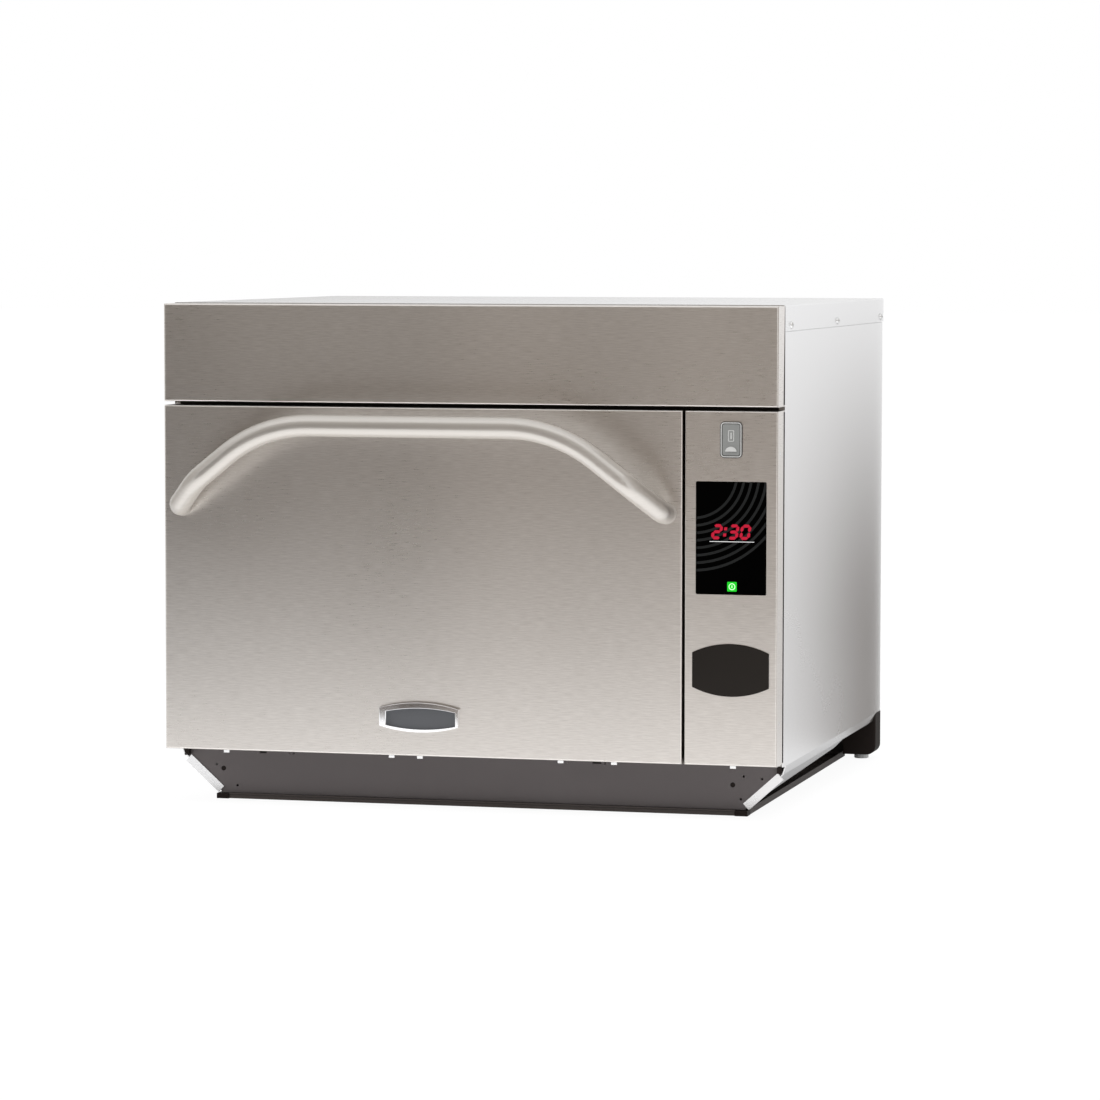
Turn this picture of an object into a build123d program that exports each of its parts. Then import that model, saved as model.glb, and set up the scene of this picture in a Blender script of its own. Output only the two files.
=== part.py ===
from build123d import *
import math
import os

# Speed oven, millimetres. X runs across the front, Y from the door to the back, Z up from the counter.
# Places across the front are insets from a side of the cabinet; places in depth are behind the door face.

# Overall size
width = 638.0
height = 512.0
depth = 578.5
sheet = 1.2
frame_sheet = 1.5
bend_inside = 0.4
cut = 5.0
clearance = 0.3
running = 0.05

# Front layout
cover_rise = 0.8
fascia_height = 99.3
fascia_gap = 3.9
front_lift = 3.8
panel_width = 93.8
panel_gap = 2.4
side_front = 33.1
door_gap = 5.1

# Side panel and plinth
crease_height = 52.2
knee_inset = 3.0
knee_drop = 9.2
pan_inset = 39.0
pan_top = 7.0
pan_lift = 0.3
seam_drop = 25.7
seam_gap = 0.8
joggle_lap = 16.0
front_flange = 6.0
back_flange = 15.0
knee_setback = 15.9
plinth_setback = 52.5
slope_low_front = 15.6
slope_low_back = 33.6
slope_back = 372.0
strip_end = 51.8
strip_run = 35.3
strip_fall = 31.8
strip_length = 47.5
strip_width = 8.7
strip_overhang = 1.1

# Plinth panel, pan and feet
plinth_gap = 0.7
plinth_bottom = 5.7
plinth_hole = 2.6
plinth_hole_left = 44.0
plinth_hole_right = 55.6
plinth_hole_share = 0.584
dimple = 1.3
left_dimple_shares = ((0.83, 1.13), (1.34, 0.43))
right_dimple_shares = ((0.80, 1.29), (0.46, 1.22), (0.85, 0.53))
lip_lead = 8.0
lip_depth = 3.1
lip_height = 5.7
lip_groove = 0.8
foot_width = 13.0
foot_height = 5.4
foot_length = 14.0
foot_lead = 1.0
rear_foot_width = 37.0
rear_foot_inset = 27.5
rear_foot_length = 31.0
rear_foot_round = 10.0
rear_foot_lift = 5.3
rear_glide_radius = 8.0
bracket_inset = 4.3
bracket_width = 4.7
bracket_height = 8.2
bracket_start = 46.0
bracket_length = 6.0
clip_width = 6.0
clip_drop = 3.5
clip_outside_hinge = 58.5
clip_before_hinge = 23.3
clip_beyond_hinge = 32.2
clip_middle_offsets = (41.2, 11.2)
clip_corner_inset = 52.3

# Cover and fascia
cover_back = 5.5
cover_front_flange = 9.0
fascia_top_gap = 3.1
fascia_return_top = 31.0
fascia_return_bottom = 26.0
panel_return = 27.0

# Skin screws
screw_radius = 2.0
screw_head_radius = 4.0
screw_head_height = 2.0
screw_length = 7.0
cover_screw_drop = 20.0
cover_screw_shares = (0.1106, 0.5359, 0.9784)
back_screw_inset = 7.5
back_screw_shares = (0.211, 0.530, 0.832)
panel_screw_place = 12.0
panel_screw_ends = 42.0
panel_screw_radius = 2.2

# Cavity
cavity_side = 67.9
cavity_head = 42.5
cavity_lift = 44.8
rear_bay = 161.7
well_radius = 100.0
well_depth = 14.0
ceramic_thickness = 5.0
ceramic_margin = 4.0
insulation_thickness = 18.0
insulation_margin = 3.0

# Rack
rack_margin = 8.0
rack_wire = 2.5
rack_rod = 1.5
rack_rods = 14
rack_height = 24.0
rack_leg_inset = 30.0

# Radiant element
element_radius = 4.0
element_drop = 15.5
element_side = 53.0
element_bend = 30.0
element_front = 35.0
element_back = 30.0
element_tail = 30.0
element_fit = 0.3
hanger_width = 12.0
hanger_thickness = 3.0
hanger_lip = 4.0

# Convection system
plenum_share = 0.3933
plenum_depth = 52.0
baffle_lap = 5.0
baffle_pitch_share = 0.1667
baffle_hole_share = 0.3077
baffle_rows = 9
fan_gap = 14.0
fan_hub_radius = 14.0
fan_blades = 12
fan_blade_share = 0.5385
fan_blade_thickness = 1.5
fan_blade_depth = 24.0
fan_front_gap = 9.0
fan_plate = 1.5
shaft_radius = 5.0
shaft_hole = 8.0
heater_gap = 13.0
heater_tube = 4.0
heater_leg_spacing = 40.0
heater_leg_length = 38.0
motor_radius = 45.0
motor_length = 60.0
motor_standoff = 14.0
motor_posts = 4
motor_post_radius = 4.0
motor_post_circle = 38.0
motor_bore_depth = 20.0

# Stirrer
stirrer_radius = 80.0
stirrer_plate = 1.5
stirrer_slot_radius = 18.0
stirrer_slot_circle = 50.0
stirrer_slots = 3
stirrer_hub = 9.0
stirrer_shaft = 4.0
stirrer_shaft_hole = 6.0
stirrer_rise = 6.5
stirrer_motor_radius = 25.0
stirrer_motor_height = 24.0
stirrer_bore_depth = 14.0

# Microwave feed, right side of the cavity
guide_thickness = 40.0
guide_length = 95.0
guide_height = 120.0
guide_rise = 13.0
guide_spacing = 125.0
feed_length = 60.0
feed_height = 36.0
feed_cover_margin = 8.0
feed_cover_thickness = 1.0
magnetron_length = 70.0
magnetron_height = 84.0
magnetron_depth = 58.0
magnetron_fins = 8
magnetron_fin = 1.2
magnetron_core = 22.0
magnetron_frame = 2.0
antenna_radius = 8.0
antenna_length = 22.0
antenna_hole = 9.0

# Power parts, right bay floor
transformer_width = 84.0
transformer_length = 58.0
transformer_height = 76.0
transformer_coil_width = 52.0
transformer_coil_length = 90.0
transformer_coil_height = 42.0
transformer_inset = 98.0
transformer_back = 106.5
transformer_spacing = 102.0
capacitor_radius = 17.0
capacitor_spread = 18.0
capacitor_height = 92.0
capacitor_inset = 98.0
capacitor_gap = 95.0
capacitor_spacing = 60.0
terminal_radius = 3.0
terminal_height = 9.0

# Cooling fan, back of the right bay
cooler_size = 120.0
cooler_depth = 38.0
cooler_duct = 56.0
cooler_inset = 70.0
cooler_drop = 120.0
cooler_hub = 20.0
cooler_hub_depth = 22.0
cooler_tip_gap = 2.5
cooler_blades = 7
cooler_blade_thickness = 1.6
cooler_blade_depth = 20.0
cooler_blade_angle = 35.0
cooler_shaft = 3.0
cooler_boss = 16.0
cooler_boss_depth = 8.0
cooler_strut = 5.0
vent_slot_height = 4.0
vent_pitch = 9.0
vent_rows = 11
vent_slot_width = 96.0
side_vent_inset = 150.0
side_vent_drop = 182.0
side_vent_rows = 8

# Control board and interlocks
board_width = 70.0
board_height = 190.0
board_thickness = 1.6
board_standoff = 8.0
board_inset = 55.0
board_rise = 28.0
board_post_radius = 3.0
board_post_inset = 6.0
wiring_drop = 24.0
wiring_width = 34.0
wiring_height = 16.0
board_part_height = 14.0
board_part_shares = ((-0.22, -0.30, 0.36, 0.22), (0.20, 0.05, 0.30, 0.26), (-0.15, 0.32, 0.40, 0.16))
switch_width = 18.0
switch_length = 26.0
switch_height = 66.0
tongue_thickness = 4.0
tongue_height = 22.0
tongue_reach = 26.0
tongue_drop = 54.5
tongue_inset = 35.0
tongue_foot = 14.0
tongue_window = 3.0

# Touch screen and port on the control panel
screen_width = 71.4
screen_height_share = 0.3185
screen_top = 69.6
screen_corner = 1.5
screen_gap = 0.2
module_margin = 5.0
module_depth = 20.0
port_width = 22.3
port_height = 35.8
port_top = 10.4
port_corner = 4.5
port_border = 2.1
port_rise = 1.6
port_body_depth = 20.0
port_web = 0.25
port_socket_width = 5.6
port_socket_height = 13.2
port_socket_depth = 14.0
flap_thickness = 1.1
flap_gap = 0.35
catch_radius = 5.0
catch_rise = 0.7
catch_lift = 4.0
plate_width = 77.6
plate_height = 52.4
plate_straight = 34.5
plate_lift_share = 0.1963
plate_thickness = 0.8

# Door
door_plate_gap = 0.6
plug_gap = 3.5
plug_depth = 12.0
choke_offset = 18.0
choke_height = 15.0
choke_slot = 7.0
choke_pitch = 24.0
choke_slot_depth = 11.0
seal_offset = 5.0
seal_width = 10.0
badge_width = 83.3
badge_height = 30.4
badge_straight = 18.4
badge_lift = 24.5
badge_rim_side = 5.4
badge_rim_top = 4.5
badge_plate_shift = 2.1
badge_plate_drop = 1.4
badge_rise = 5.0
badge_plate_thickness = 1.2

# Handle
handle_radius = 11.0
handle_wall = 1.6
handle_inset = 17.7
handle_shift = 1.6
handle_foot_drop = 102.0
handle_elbow_inset = 1.5
handle_elbow_rise = 1.5
handle_elbow_reach_share = 1.04
handle_elbow_bend_share = 1.136
handle_heel_inset = 28.0
handle_heel_rise = 27.5
handle_heel_setback = 7.5
handle_heel_bend = 40.0
handle_bar_inset = 101.0
handle_bar_rise = 84.8
handle_standoff = 46.5
handle_bar_bend = 143.0
handle_plug = 5.0
handle_bolt_radius = 4.0
handle_bolt_head = 6.5
handle_bolt_head_height = 5.0

# Door hinges
hinge_setback = 2.9
hinge_drop = 2.0
hinge_inset = 110.8
hinge_barrel = 24.0
hinge_barrel_radius = 4.2
hinge_pin_radius = 3.0
hinge_leaf = 2.0
hinge_leaf_height = 26.0
hinge_ear = 3.0
hinge_ear_radius = 5.2
hinge_ear_length = 34.0
hinge_ear_height = 9.0
hinge_foot = 2.0
hinge_spring_length = 8.0
hinge_spring_wall = 1.4
hinge_gap = 0.3
hinge_notch = 4.0
hinge_side_gap = 1.0

# Chassis floor
floor_setback = 6.9
channel_width = 50.0
channel_gap = 15.0
channel_inset = 60.0

# Power gland
gland_inset = 78.0
gland_height = 110.0
gland_bore = 6.5
gland_nut = 15.0
gland_nut_length = 6.0
gland_dome = 11.5
gland_reach = 18.0
gland_thread = 9.5
gland_thread_length = 10.0

# Places worked out from the sizes above
half_width = width / 2
inner_half = half_width - sheet
back_face = depth - sheet
front_y = (handle_standoff + handle_radius - depth - gland_reach) / 2
fascia_top = height - cover_rise
fascia_bottom = fascia_top - fascia_height
front_top = fascia_bottom - fascia_gap
front_bottom = crease_height + front_lift
front_height = front_top - front_bottom
front_middle = (front_top + front_bottom) / 2
seam = height - seam_drop
door_left = -half_width
door_right = half_width - panel_width - panel_gap
door_width = door_right - door_left
door_middle = (door_left + door_right) / 2
panel_left = door_right + panel_gap
panel_middle = (panel_left + half_width) / 2
door_shell = side_front - door_gap
door_plate_back = door_shell + frame_sheet
frame_front = side_front + sheet
frame_back = frame_front + frame_sheet
floor_front = side_front + floor_setback
floor_top = crease_height + frame_sheet
knee_height = crease_height - knee_drop
knee_start = side_front + knee_setback
rear_foot_start = depth - rear_foot_inset

# The cavity and what hangs on it
cavity_floor = floor_top + cavity_lift
cavity_top = front_top - cavity_head
cavity_height = cavity_top - cavity_floor
cavity_middle_height = (cavity_floor + cavity_top) / 2
cavity_width = door_width - 2 * cavity_side
cavity_left = door_middle - cavity_width / 2
cavity_right = door_middle + cavity_width / 2
cavity_back = depth - rear_bay
cavity_depth = cavity_back - frame_back
cavity_middle = (frame_back + cavity_back) / 2
liner_back = cavity_back + frame_sheet
plenum_back = liner_back + plenum_depth
motor_front = plenum_back + motor_standoff
well_floor = cavity_floor - well_depth
channel_half_spread = well_radius + channel_gap + channel_width / 2
element_spacing = (cavity_width / 2 - element_side) * 2 / 3
plenum_half = cavity_height * plenum_share
baffle_half = plenum_half + baffle_lap
heater_radius = plenum_half - heater_gap
fan_radius = heater_radius - fan_gap
fan_blade_start = fan_radius * fan_blade_share
baffle_pitch = fan_radius * baffle_pitch_share
baffle_hole = baffle_pitch * baffle_hole_share
guide_centre_height = cavity_middle_height + guide_rise
tongue_centre_height = cavity_top - tongue_drop

# The bay beside the cavity, and the front
transformer_first = depth - transformer_back - transformer_spacing
capacitor_first = transformer_first - capacitor_gap - capacitor_spacing
cooler_centre_height = height - cooler_drop
side_vent_height = height - side_vent_drop
board_centre_height = front_middle + board_rise
screen_height = front_height * screen_height_share
plate_top = front_bottom + front_height * plate_lift_share + plate_height
badge_top = front_bottom + badge_lift + badge_height
plinth_hole_height = crease_height * plinth_hole_share
hinge_behind = side_front + hinge_setback
hinge_height = front_bottom - hinge_drop
handle_middle = door_middle + handle_shift
handle_half_span = door_width / 2 - handle_inset
handle_elbow_bend = handle_radius * handle_elbow_bend_share
handle_elbow_reach = handle_elbow_bend * handle_elbow_reach_share
handle_heel_reach = handle_standoff - handle_heel_setback
bend = sheet + bend_inside


def deep(distance):
    """The Y place that lies this far behind the door face."""
    return front_y + distance


def block(x, y, z):
    """A box between two places along each axis."""
    spans = [(min(pair), max(pair)) for pair in (x, y, z)]
    middle = [(low + high) / 2 for low, high in spans]
    return Pos(*middle) * Box(*[high - low for low, high in spans])


def about(middle, half):
    """The two ends of a span from its middle and half its length."""
    return (middle - half, middle + half)


def prism(points, travel):
    """A straight solid: an outline of 3-D points moved along a vector."""
    return Part(Solid.extrude(Face(Wire.make_polygon(points)), Vector(*travel)).wrapped)


def rod(start, end, radius):
    """A round bar between two points."""
    start = Vector(start)
    way = Vector(end) - start
    return Part(Solid.make_cylinder(radius, way.length, Plane(origin=start, z_dir=way)).wrapped)


def fused(pieces):
    """The pieces of a list as one solid."""
    whole = pieces[0]
    for piece in pieces[1:]:
        whole = whole + piece
    return whole


def inner_line(points, thickness):
    """The second line of a folded sheet: the first one moved to its left by the thickness."""
    ways = [(Vector(*b) - Vector(*a)).normalized() for a, b in zip(points, points[1:])]
    normals = [Vector(-way.Y, way.X) for way in ways]
    before = [normals[0]] + normals
    after = normals + [normals[-1]]
    moved = []
    for point, first, second in zip(points, before, after):
        shift = (first + second) * (thickness / (1 + first.dot(second)))
        moved.append((point[0] + shift.X, point[1] + shift.Y))
    return moved


def folded_pan(x, z, back):
    """A front panel folded back along its four sides, with rounded bends."""
    y = (deep(0), deep(back))
    shell = block(x, y, z)
    shell = fillet(shell.faces().sort_by(Axis.Y)[0].edges(), bend)
    inside = block((x[0] + sheet, x[1] - sheet), (y[0] + sheet, y[1] + cut), (z[0] + sheet, z[1] - sheet))
    inside = fillet(inside.faces().sort_by(Axis.Y)[0].edges(), bend_inside)
    return shell - inside


def rounded_block(x, y, z, radius):
    """A box with the four edges along Y rounded."""
    body = block(x, y, z)
    return fillet(body.edges().filter_by(Axis.Y), radius)


def arched(middle_x, top, wide, tall, straight, y):
    """A plate with straight sides and an arched top and bottom."""
    rise = (tall - straight) / 2
    left, right = about(middle_x, wide / 2)
    upper, lower = top - rise, top - tall + rise
    outline = [
        ThreePointArc((left, y[0], upper), (middle_x, y[0], top), (right, y[0], upper)),
        Line((right, y[0], upper), (right, y[0], lower)),
        ThreePointArc((right, y[0], lower), (middle_x, y[0], top - tall), (left, y[0], lower)),
        Line((left, y[0], lower), (left, y[0], upper)),
    ]
    face = Face(Wire([edge.edge() for edge in outline]))
    return Part(Solid.extrude(face, Vector(0, y[1] - y[0], 0)).wrapped)


def screw(base, way):
    """A pan-head screw whose head sits on the base point and whose shank runs along a unit vector."""
    start = Vector(*base)
    along = Vector(*way)
    head = rod(start - along * screw_head_height, start, screw_head_radius)
    shank = rod(start, start + along * screw_length, screw_radius)
    return head + shank


def screw_hole(base, way):
    """The clearance hole for such a screw."""
    start = Vector(*base)
    along = Vector(*way)
    return rod(start - along * cut, start + along * (screw_length + cut), screw_radius + clearance)


# Skin screws and their holes

def cover_screw_points(side):
    height_here = height - cover_screw_drop
    return [(side * half_width, deep(depth * share), height_here) for share in cover_screw_shares]


def back_screw_points(side):
    x = side * (half_width - back_screw_inset)
    return [(x, deep(depth), height * share) for share in back_screw_shares]


def skin_screws():
    pieces = []
    for side in (-1, 1):
        pieces += [screw(point, (-side, 0, 0)) for point in cover_screw_points(side)]
        pieces += [screw(point, (0, -1, 0)) for point in back_screw_points(side)]
    return Compound(children=pieces)


def with_skin_holes(body):
    """The body with the holes of every skin screw cut through it."""
    for side in (-1, 1):
        for point in cover_screw_points(side):
            body = body - screw_hole(point, (-side, 0, 0))
        for point in back_screw_points(side):
            body = body - screw_hole(point, (0, -1, 0))
    return body


# Cabinet

def top_cover():
    y = (deep(side_front), deep(depth + cover_back))
    body = block((-half_width, half_width), y, (seam, height))
    body = fillet(body.edges().filter_by(Axis.Y).sort_by(Axis.Z)[-2:], bend)
    body -= block((-inner_half, inner_half), (y[0] + sheet, y[1] - sheet), (seam - cut, height - sheet))
    below_flange = (seam - cut, height - cover_front_flange)
    body -= block((-inner_half, inner_half), (y[0] - cut, y[0] + cut), below_flange)
    return with_skin_holes(body)


def side_panel(side):
    def x(inset):
        return side * (half_width - inset)

    main = block((x(0), x(sheet)), (deep(side_front), deep(depth)), (crease_height, seam - seam_gap))
    front_y_span = (deep(side_front), deep(frame_front))
    front = block((x(0), x(front_flange)), front_y_span, (front_bottom, seam - seam_gap))
    back = block((x(0), x(back_flange)), (deep(back_face), deep(depth)), (floor_top, seam - seam_gap))
    lap = (seam - joggle_lap, height - sheet - clearance)
    joggle_y = (deep(frame_back + clearance), deep(back_face - 2 * sheet))
    joggle = block((x(sheet), x(2 * sheet)), joggle_y, lap)

    knee = [(0, crease_height), (knee_inset, knee_height)]
    slope = [(knee_inset, knee_height), (pan_inset, pan_top)]
    line = [knee[0], slope[0], slope[1]]
    inside = inner_line(line, sheet)
    slope_start = plinth_setback + sheet
    rear = rear_foot_start - clearance
    slope_y = (deep(slope_start), deep(slope_back))
    upper = [line[0], line[1], inside[1], (sheet, crease_height)]
    lower = [line[1], line[2], inside[2], inside[1]]
    upper = prism([(x(i), deep(knee_start), z) for i, z in upper], (0, rear - knee_start, 0))
    lower = prism([(x(i), slope_y[0], z) for i, z in lower], (0, slope_y[1] - slope_y[0], 0))
    under = [(slope_y[0], 0), (slope_y[0], slope_low_front), (slope_y[1], slope_low_back), (slope_y[1], 0)]
    lower -= prism([(x(0), y, z) for y, z in under], (-side * 2 * pan_inset, 0, 0))

    slope_way = Vector(pan_inset - knee_inset, pan_top - knee_height).normalized()
    low_end = Vector(knee_inset, knee_height) + slope_way * strip_end
    low_end += Vector(slope_way.Y, -slope_way.X) * strip_overhang
    up = Vector(-strip_run, strip_fall).normalized()
    inward = Vector(up.Y, -up.X)
    corners = []
    for length, width in ((0, 0), (strip_length, 0), (strip_length, strip_width), (0, strip_width)):
        corner = low_end + up * length + inward * width
        corners.append((x(corner.X), deep(plinth_setback), corner.Y))
    strip = prism(corners, (0, sheet, 0))
    return with_skin_holes(fused([main, front, back, joggle, upper, lower, strip]))


def vent_slots(middle_x, middle_z, rows):
    """A stack of flat slots through the back panel."""
    slots = []
    for row in range(rows):
        z = middle_z + (row - (rows - 1) / 2) * vent_pitch
        x = about(middle_x, vent_slot_width / 2)
        slots.append(block(x, (deep(back_face - cut), deep(depth)), about(z, vent_slot_height / 2)))
    return slots


def gland_place():
    return (-half_width + gland_inset, gland_height)


def back_panel():
    y = (deep(back_face - sheet), deep(back_face))
    body = block((-inner_half, inner_half), y, (floor_top, height - sheet - clearance))
    cooler_x = half_width - cooler_inset
    slots = vent_slots(cooler_x, cooler_centre_height, vent_rows)
    slots += vent_slots(-half_width + side_vent_inset, side_vent_height, side_vent_rows)
    x, z = gland_place()
    hole = rod((x, deep(back_face - cut), z), (x, deep(depth), z), gland_thread + clearance)
    return with_skin_holes(body - slots - hole)


def inlet_gland():
    x, z = gland_place()
    nut = rod((x, deep(back_face), z), (x, deep(back_face + gland_nut_length), z), gland_nut)
    dome = rod((x, deep(back_face), z), (x, deep(depth + gland_reach), z), gland_dome)
    inner = deep(back_face - sheet - gland_thread_length)
    thread = rod((x, inner, z), (x, deep(back_face), z), gland_thread)
    lock_y = deep(back_face - sheet - gland_nut_length)
    lock = rod((x, lock_y, z), (x, deep(back_face - sheet), z), gland_nut)
    bore = rod((x, inner - cut, z), (x, deep(depth + gland_reach + cut), z), gland_bore)
    return fused([nut, dome, thread, lock]) - bore


def fascia():
    x = (-half_width, half_width)
    body = folded_pan(x, (fascia_bottom, fascia_top), side_front)
    middle = (-inner_half, inner_half)
    above = (fascia_top - sheet, fascia_top + cut)
    body -= block(middle, (deep(side_front - fascia_top_gap), deep(side_front + cut)), above)
    for side in (-1, 1):
        slant = [
            (side * (half_width + cut), deep(fascia_return_bottom), fascia_bottom + sheet),
            (side * (half_width + cut), deep(fascia_return_top), fascia_top + cut),
            (side * (half_width + cut), deep(side_front + cut), fascia_top + cut),
            (side * (half_width + cut), deep(side_front + cut), fascia_bottom + sheet),
        ]
        body -= prism(slant, (-side * (cut + sheet), 0, 0))
    return body


def screen_span():
    top = front_top - screen_top
    return about(panel_middle, screen_width / 2), (top - screen_height, top)


def port_span():
    top = front_top - port_top
    return about(panel_middle, port_width / 2), (top - port_height, top)


def panel_screw_points():
    levels = (front_bottom + panel_screw_ends, front_top - panel_screw_ends)
    return [(half_width, deep(panel_screw_place), level) for level in levels]


def control_panel():
    x = (panel_left, half_width)
    body = folded_pan(x, (front_bottom, front_top), side_front)
    beside = (half_width - sheet, half_width + cut)
    inside = (front_bottom + sheet, front_top - sheet)
    body -= block(beside, (deep(panel_return), deep(side_front + cut)), inside)
    through = (deep(-cut), deep(bend))
    screen_x, screen_z = screen_span()
    body -= rounded_block(screen_x, through, screen_z, screen_corner)
    port_x, port_z = port_span()
    inset = port_border + flap_gap
    hole_x = (port_x[0] + inset, port_x[1] - inset)
    hole_z = (port_z[0] + inset, port_z[1] - inset)
    body -= block(hole_x, through, hole_z)
    for point in panel_screw_points():
        body -= rod(point, (half_width - cut, point[1], point[2]), panel_screw_radius + running)
    return body


def panel_screws():
    pieces = []
    for point in panel_screw_points():
        pieces.append(rod(point, (half_width - screw_length, point[1], point[2]), panel_screw_radius))
    return Compound(children=pieces)


def chassis_front():
    y = (deep(frame_front), deep(frame_back))
    bottom = hinge_height + hinge_barrel_radius + hinge_notch
    body = block((-inner_half, inner_half), y, (bottom, height - sheet))
    through = (y[0] - cut, y[1] + cut)
    body -= block((cavity_left, cavity_right), through, (cavity_floor, cavity_top))
    for x in tongue_places():
        window_x = about(x, tongue_thickness / 2 + tongue_window)
        body -= block(window_x, through, about(tongue_centre_height, tongue_height / 2 + tongue_window))
    wiring_z = about(front_top - wiring_drop, wiring_height / 2)
    return body - block(about(panel_middle, wiring_width / 2), through, wiring_z)


def hinge_places():
    return (door_left + hinge_inset, door_right - hinge_inset)


def hinge_ends(side):
    """The inner faces of a bracket's two ears: beside the barrel, and beyond the spring."""
    x = hinge_places()[0 if side < 0 else 1]
    half = hinge_barrel / 2
    return (x - side * (half + hinge_gap), x + side * (half + hinge_spring_length + 2 * hinge_gap))


def chassis_floor():
    y = (deep(floor_front), deep(back_face - sheet))
    body = block((-inner_half, inner_half), y, (crease_height, floor_top))
    for side in (-1, 1):
        near, far = hinge_ends(side)
        notch_x = (near - side * (hinge_ear + hinge_side_gap), far + side * (hinge_ear + hinge_side_gap))
        notch_y = (y[0] - cut, deep(hinge_behind + hinge_ear_radius + hinge_notch))
        body -= block(notch_x, notch_y, (crease_height - cut, floor_top + cut))
    channels = []
    for side in (-1, 1):
        middle = door_middle + side * channel_half_spread
        x = about(middle, channel_width / 2)
        channel_y = (deep(frame_back + channel_inset), deep(cavity_back - channel_inset))
        hat = block(x, channel_y, (floor_top, cavity_floor - frame_sheet))
        inner_x = about(middle, channel_width / 2 - frame_sheet)
        tunnel_y = (channel_y[0] - cut, channel_y[1] + cut)
        hat -= block(inner_x, tunnel_y, (floor_top, cavity_floor - 2 * frame_sheet))
        channels.append(hat)
    return fused([body] + channels)


def clip_places():
    """The clips stand beside the hinges, near the door's middle and near the right corner."""
    left, right = hinge_places()
    middles = [door_middle - offset for offset in clip_middle_offsets]
    by_hinges = [left - clip_outside_hinge, right - clip_before_hinge, right + clip_beyond_hinge]
    return middles + by_hinges + [half_width - clip_corner_inset]


def front_clips():
    pieces = []
    y = (deep(floor_front - sheet), deep(floor_front))
    for x in clip_places():
        pieces.append(block(about(x, clip_width / 2), y, (crease_height - clip_drop, floor_top)))
    return Compound(children=pieces)


def base_front():
    def x(inset):
        return half_width - inset

    skin_line = inner_line([(knee_inset, knee_height), (pan_inset, pan_top)], sheet + plinth_gap)
    side_inset, side_height = skin_line[0]
    slope = (skin_line[1][1] - side_height) / (skin_line[1][0] - side_inset)
    bottom_inset = side_inset + (plinth_bottom - side_height) / slope
    half_outline = [
        (side_inset, crease_height),
        (side_inset, side_height),
        (bottom_inset, plinth_bottom),
    ]
    right = [(x(inset), z) for inset, z in half_outline]
    left = [(-x(inset), z) for inset, z in reversed(half_outline)]
    y = plinth_setback + sheet
    body = prism([(px, deep(y), pz) for px, pz in right + left], (0, sheet, 0))
    sides = ((-1, plinth_hole_left, left_dimple_shares), (1, plinth_hole_right, right_dimple_shares))
    for side, hole_inset, shares in sides:
        places = [(hole_inset, plinth_hole_height, plinth_hole)]
        for across, up in shares:
            places.append((hole_inset * across, plinth_hole_height * up, dimple))
        for inset, level, radius in places:
            centre = side * (half_width - inset)
            body -= rod((centre, deep(y - cut), level), (centre, deep(y + cut), level), radius)
    return body


def base_pan():
    inset = half_width - pan_inset
    wall_front = plinth_setback + 2 * sheet
    front = wall_front - lip_lead
    back = back_face - sheet
    low = (pan_lift, pan_lift + sheet)
    body = block((-inset, inset), (deep(front), deep(back)), low)
    rear = block((-inset, inset), (deep(back - sheet), deep(back)), (pan_lift, crease_height))
    pieces = [body, rear]
    for side in (-1, 1):
        x = (side * inset, side * (inset - sheet))
        pieces.append(block(x, (deep(wall_front), deep(back)), (pan_lift, pan_top - clearance)))
    lip_half = inset - foot_width - clearance
    lip_y = (deep(front), deep(front + lip_depth))
    lip = block((-lip_half, lip_half), lip_y, (pan_lift, pan_lift + lip_height))
    groove_z = about(pan_lift + lip_height * 2 / 3, lip_groove / 2)
    lip -= block((-lip_half, lip_half), (deep(front - cut), deep(front + lip_groove)), groove_z)
    whole = fused(pieces + [lip])
    for side in (-1, 1):
        x = (side * (inset + cut), side * lip_half)
        y = (deep(front - cut), deep(front + foot_length + clearance))
        whole -= block(x, y, (0, pan_top))
    return whole


def front_feet():
    pieces = []
    outer = half_width - pan_inset
    pan_front = plinth_setback + 2 * sheet - lip_lead
    y = (deep(pan_front - foot_lead), deep(pan_front + foot_length))
    for side in (-1, 1):
        x = (side * outer, side * (outer - foot_width))
        pieces.append(block(x, y, (0, foot_height)))
    return Compound(children=pieces)


def rear_foot(side):
    x = (side * half_width, side * (half_width - rear_foot_width))
    y = (deep(rear_foot_start), deep(rear_foot_start + rear_foot_length))
    body = block(x, y, (rear_foot_lift, crease_height))
    outer_low = body.edges().filter_by(Axis.Y).sort_by(Axis.Z)[:2].sort_by(Axis.X)
    body = fillet(outer_low[-1] if side > 0 else outer_low[0], rear_foot_round)
    middle_x = side * (half_width - rear_foot_width / 2)
    middle_y = deep(rear_foot_start + rear_foot_length / 2)
    return body + rod((middle_x, middle_y, 0), (middle_x, middle_y, rear_foot_lift), rear_glide_radius)


def corner_brackets():
    pieces = []
    for side in (-1, 1):
        outer = half_width - bracket_inset
        x = (side * outer, side * (outer - bracket_width))
        y = (deep(bracket_start), deep(bracket_start + bracket_length))
        pieces.append(block(x, y, (crease_height - bracket_height, crease_height)))
    return Compound(children=pieces)


# Cavity

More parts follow.
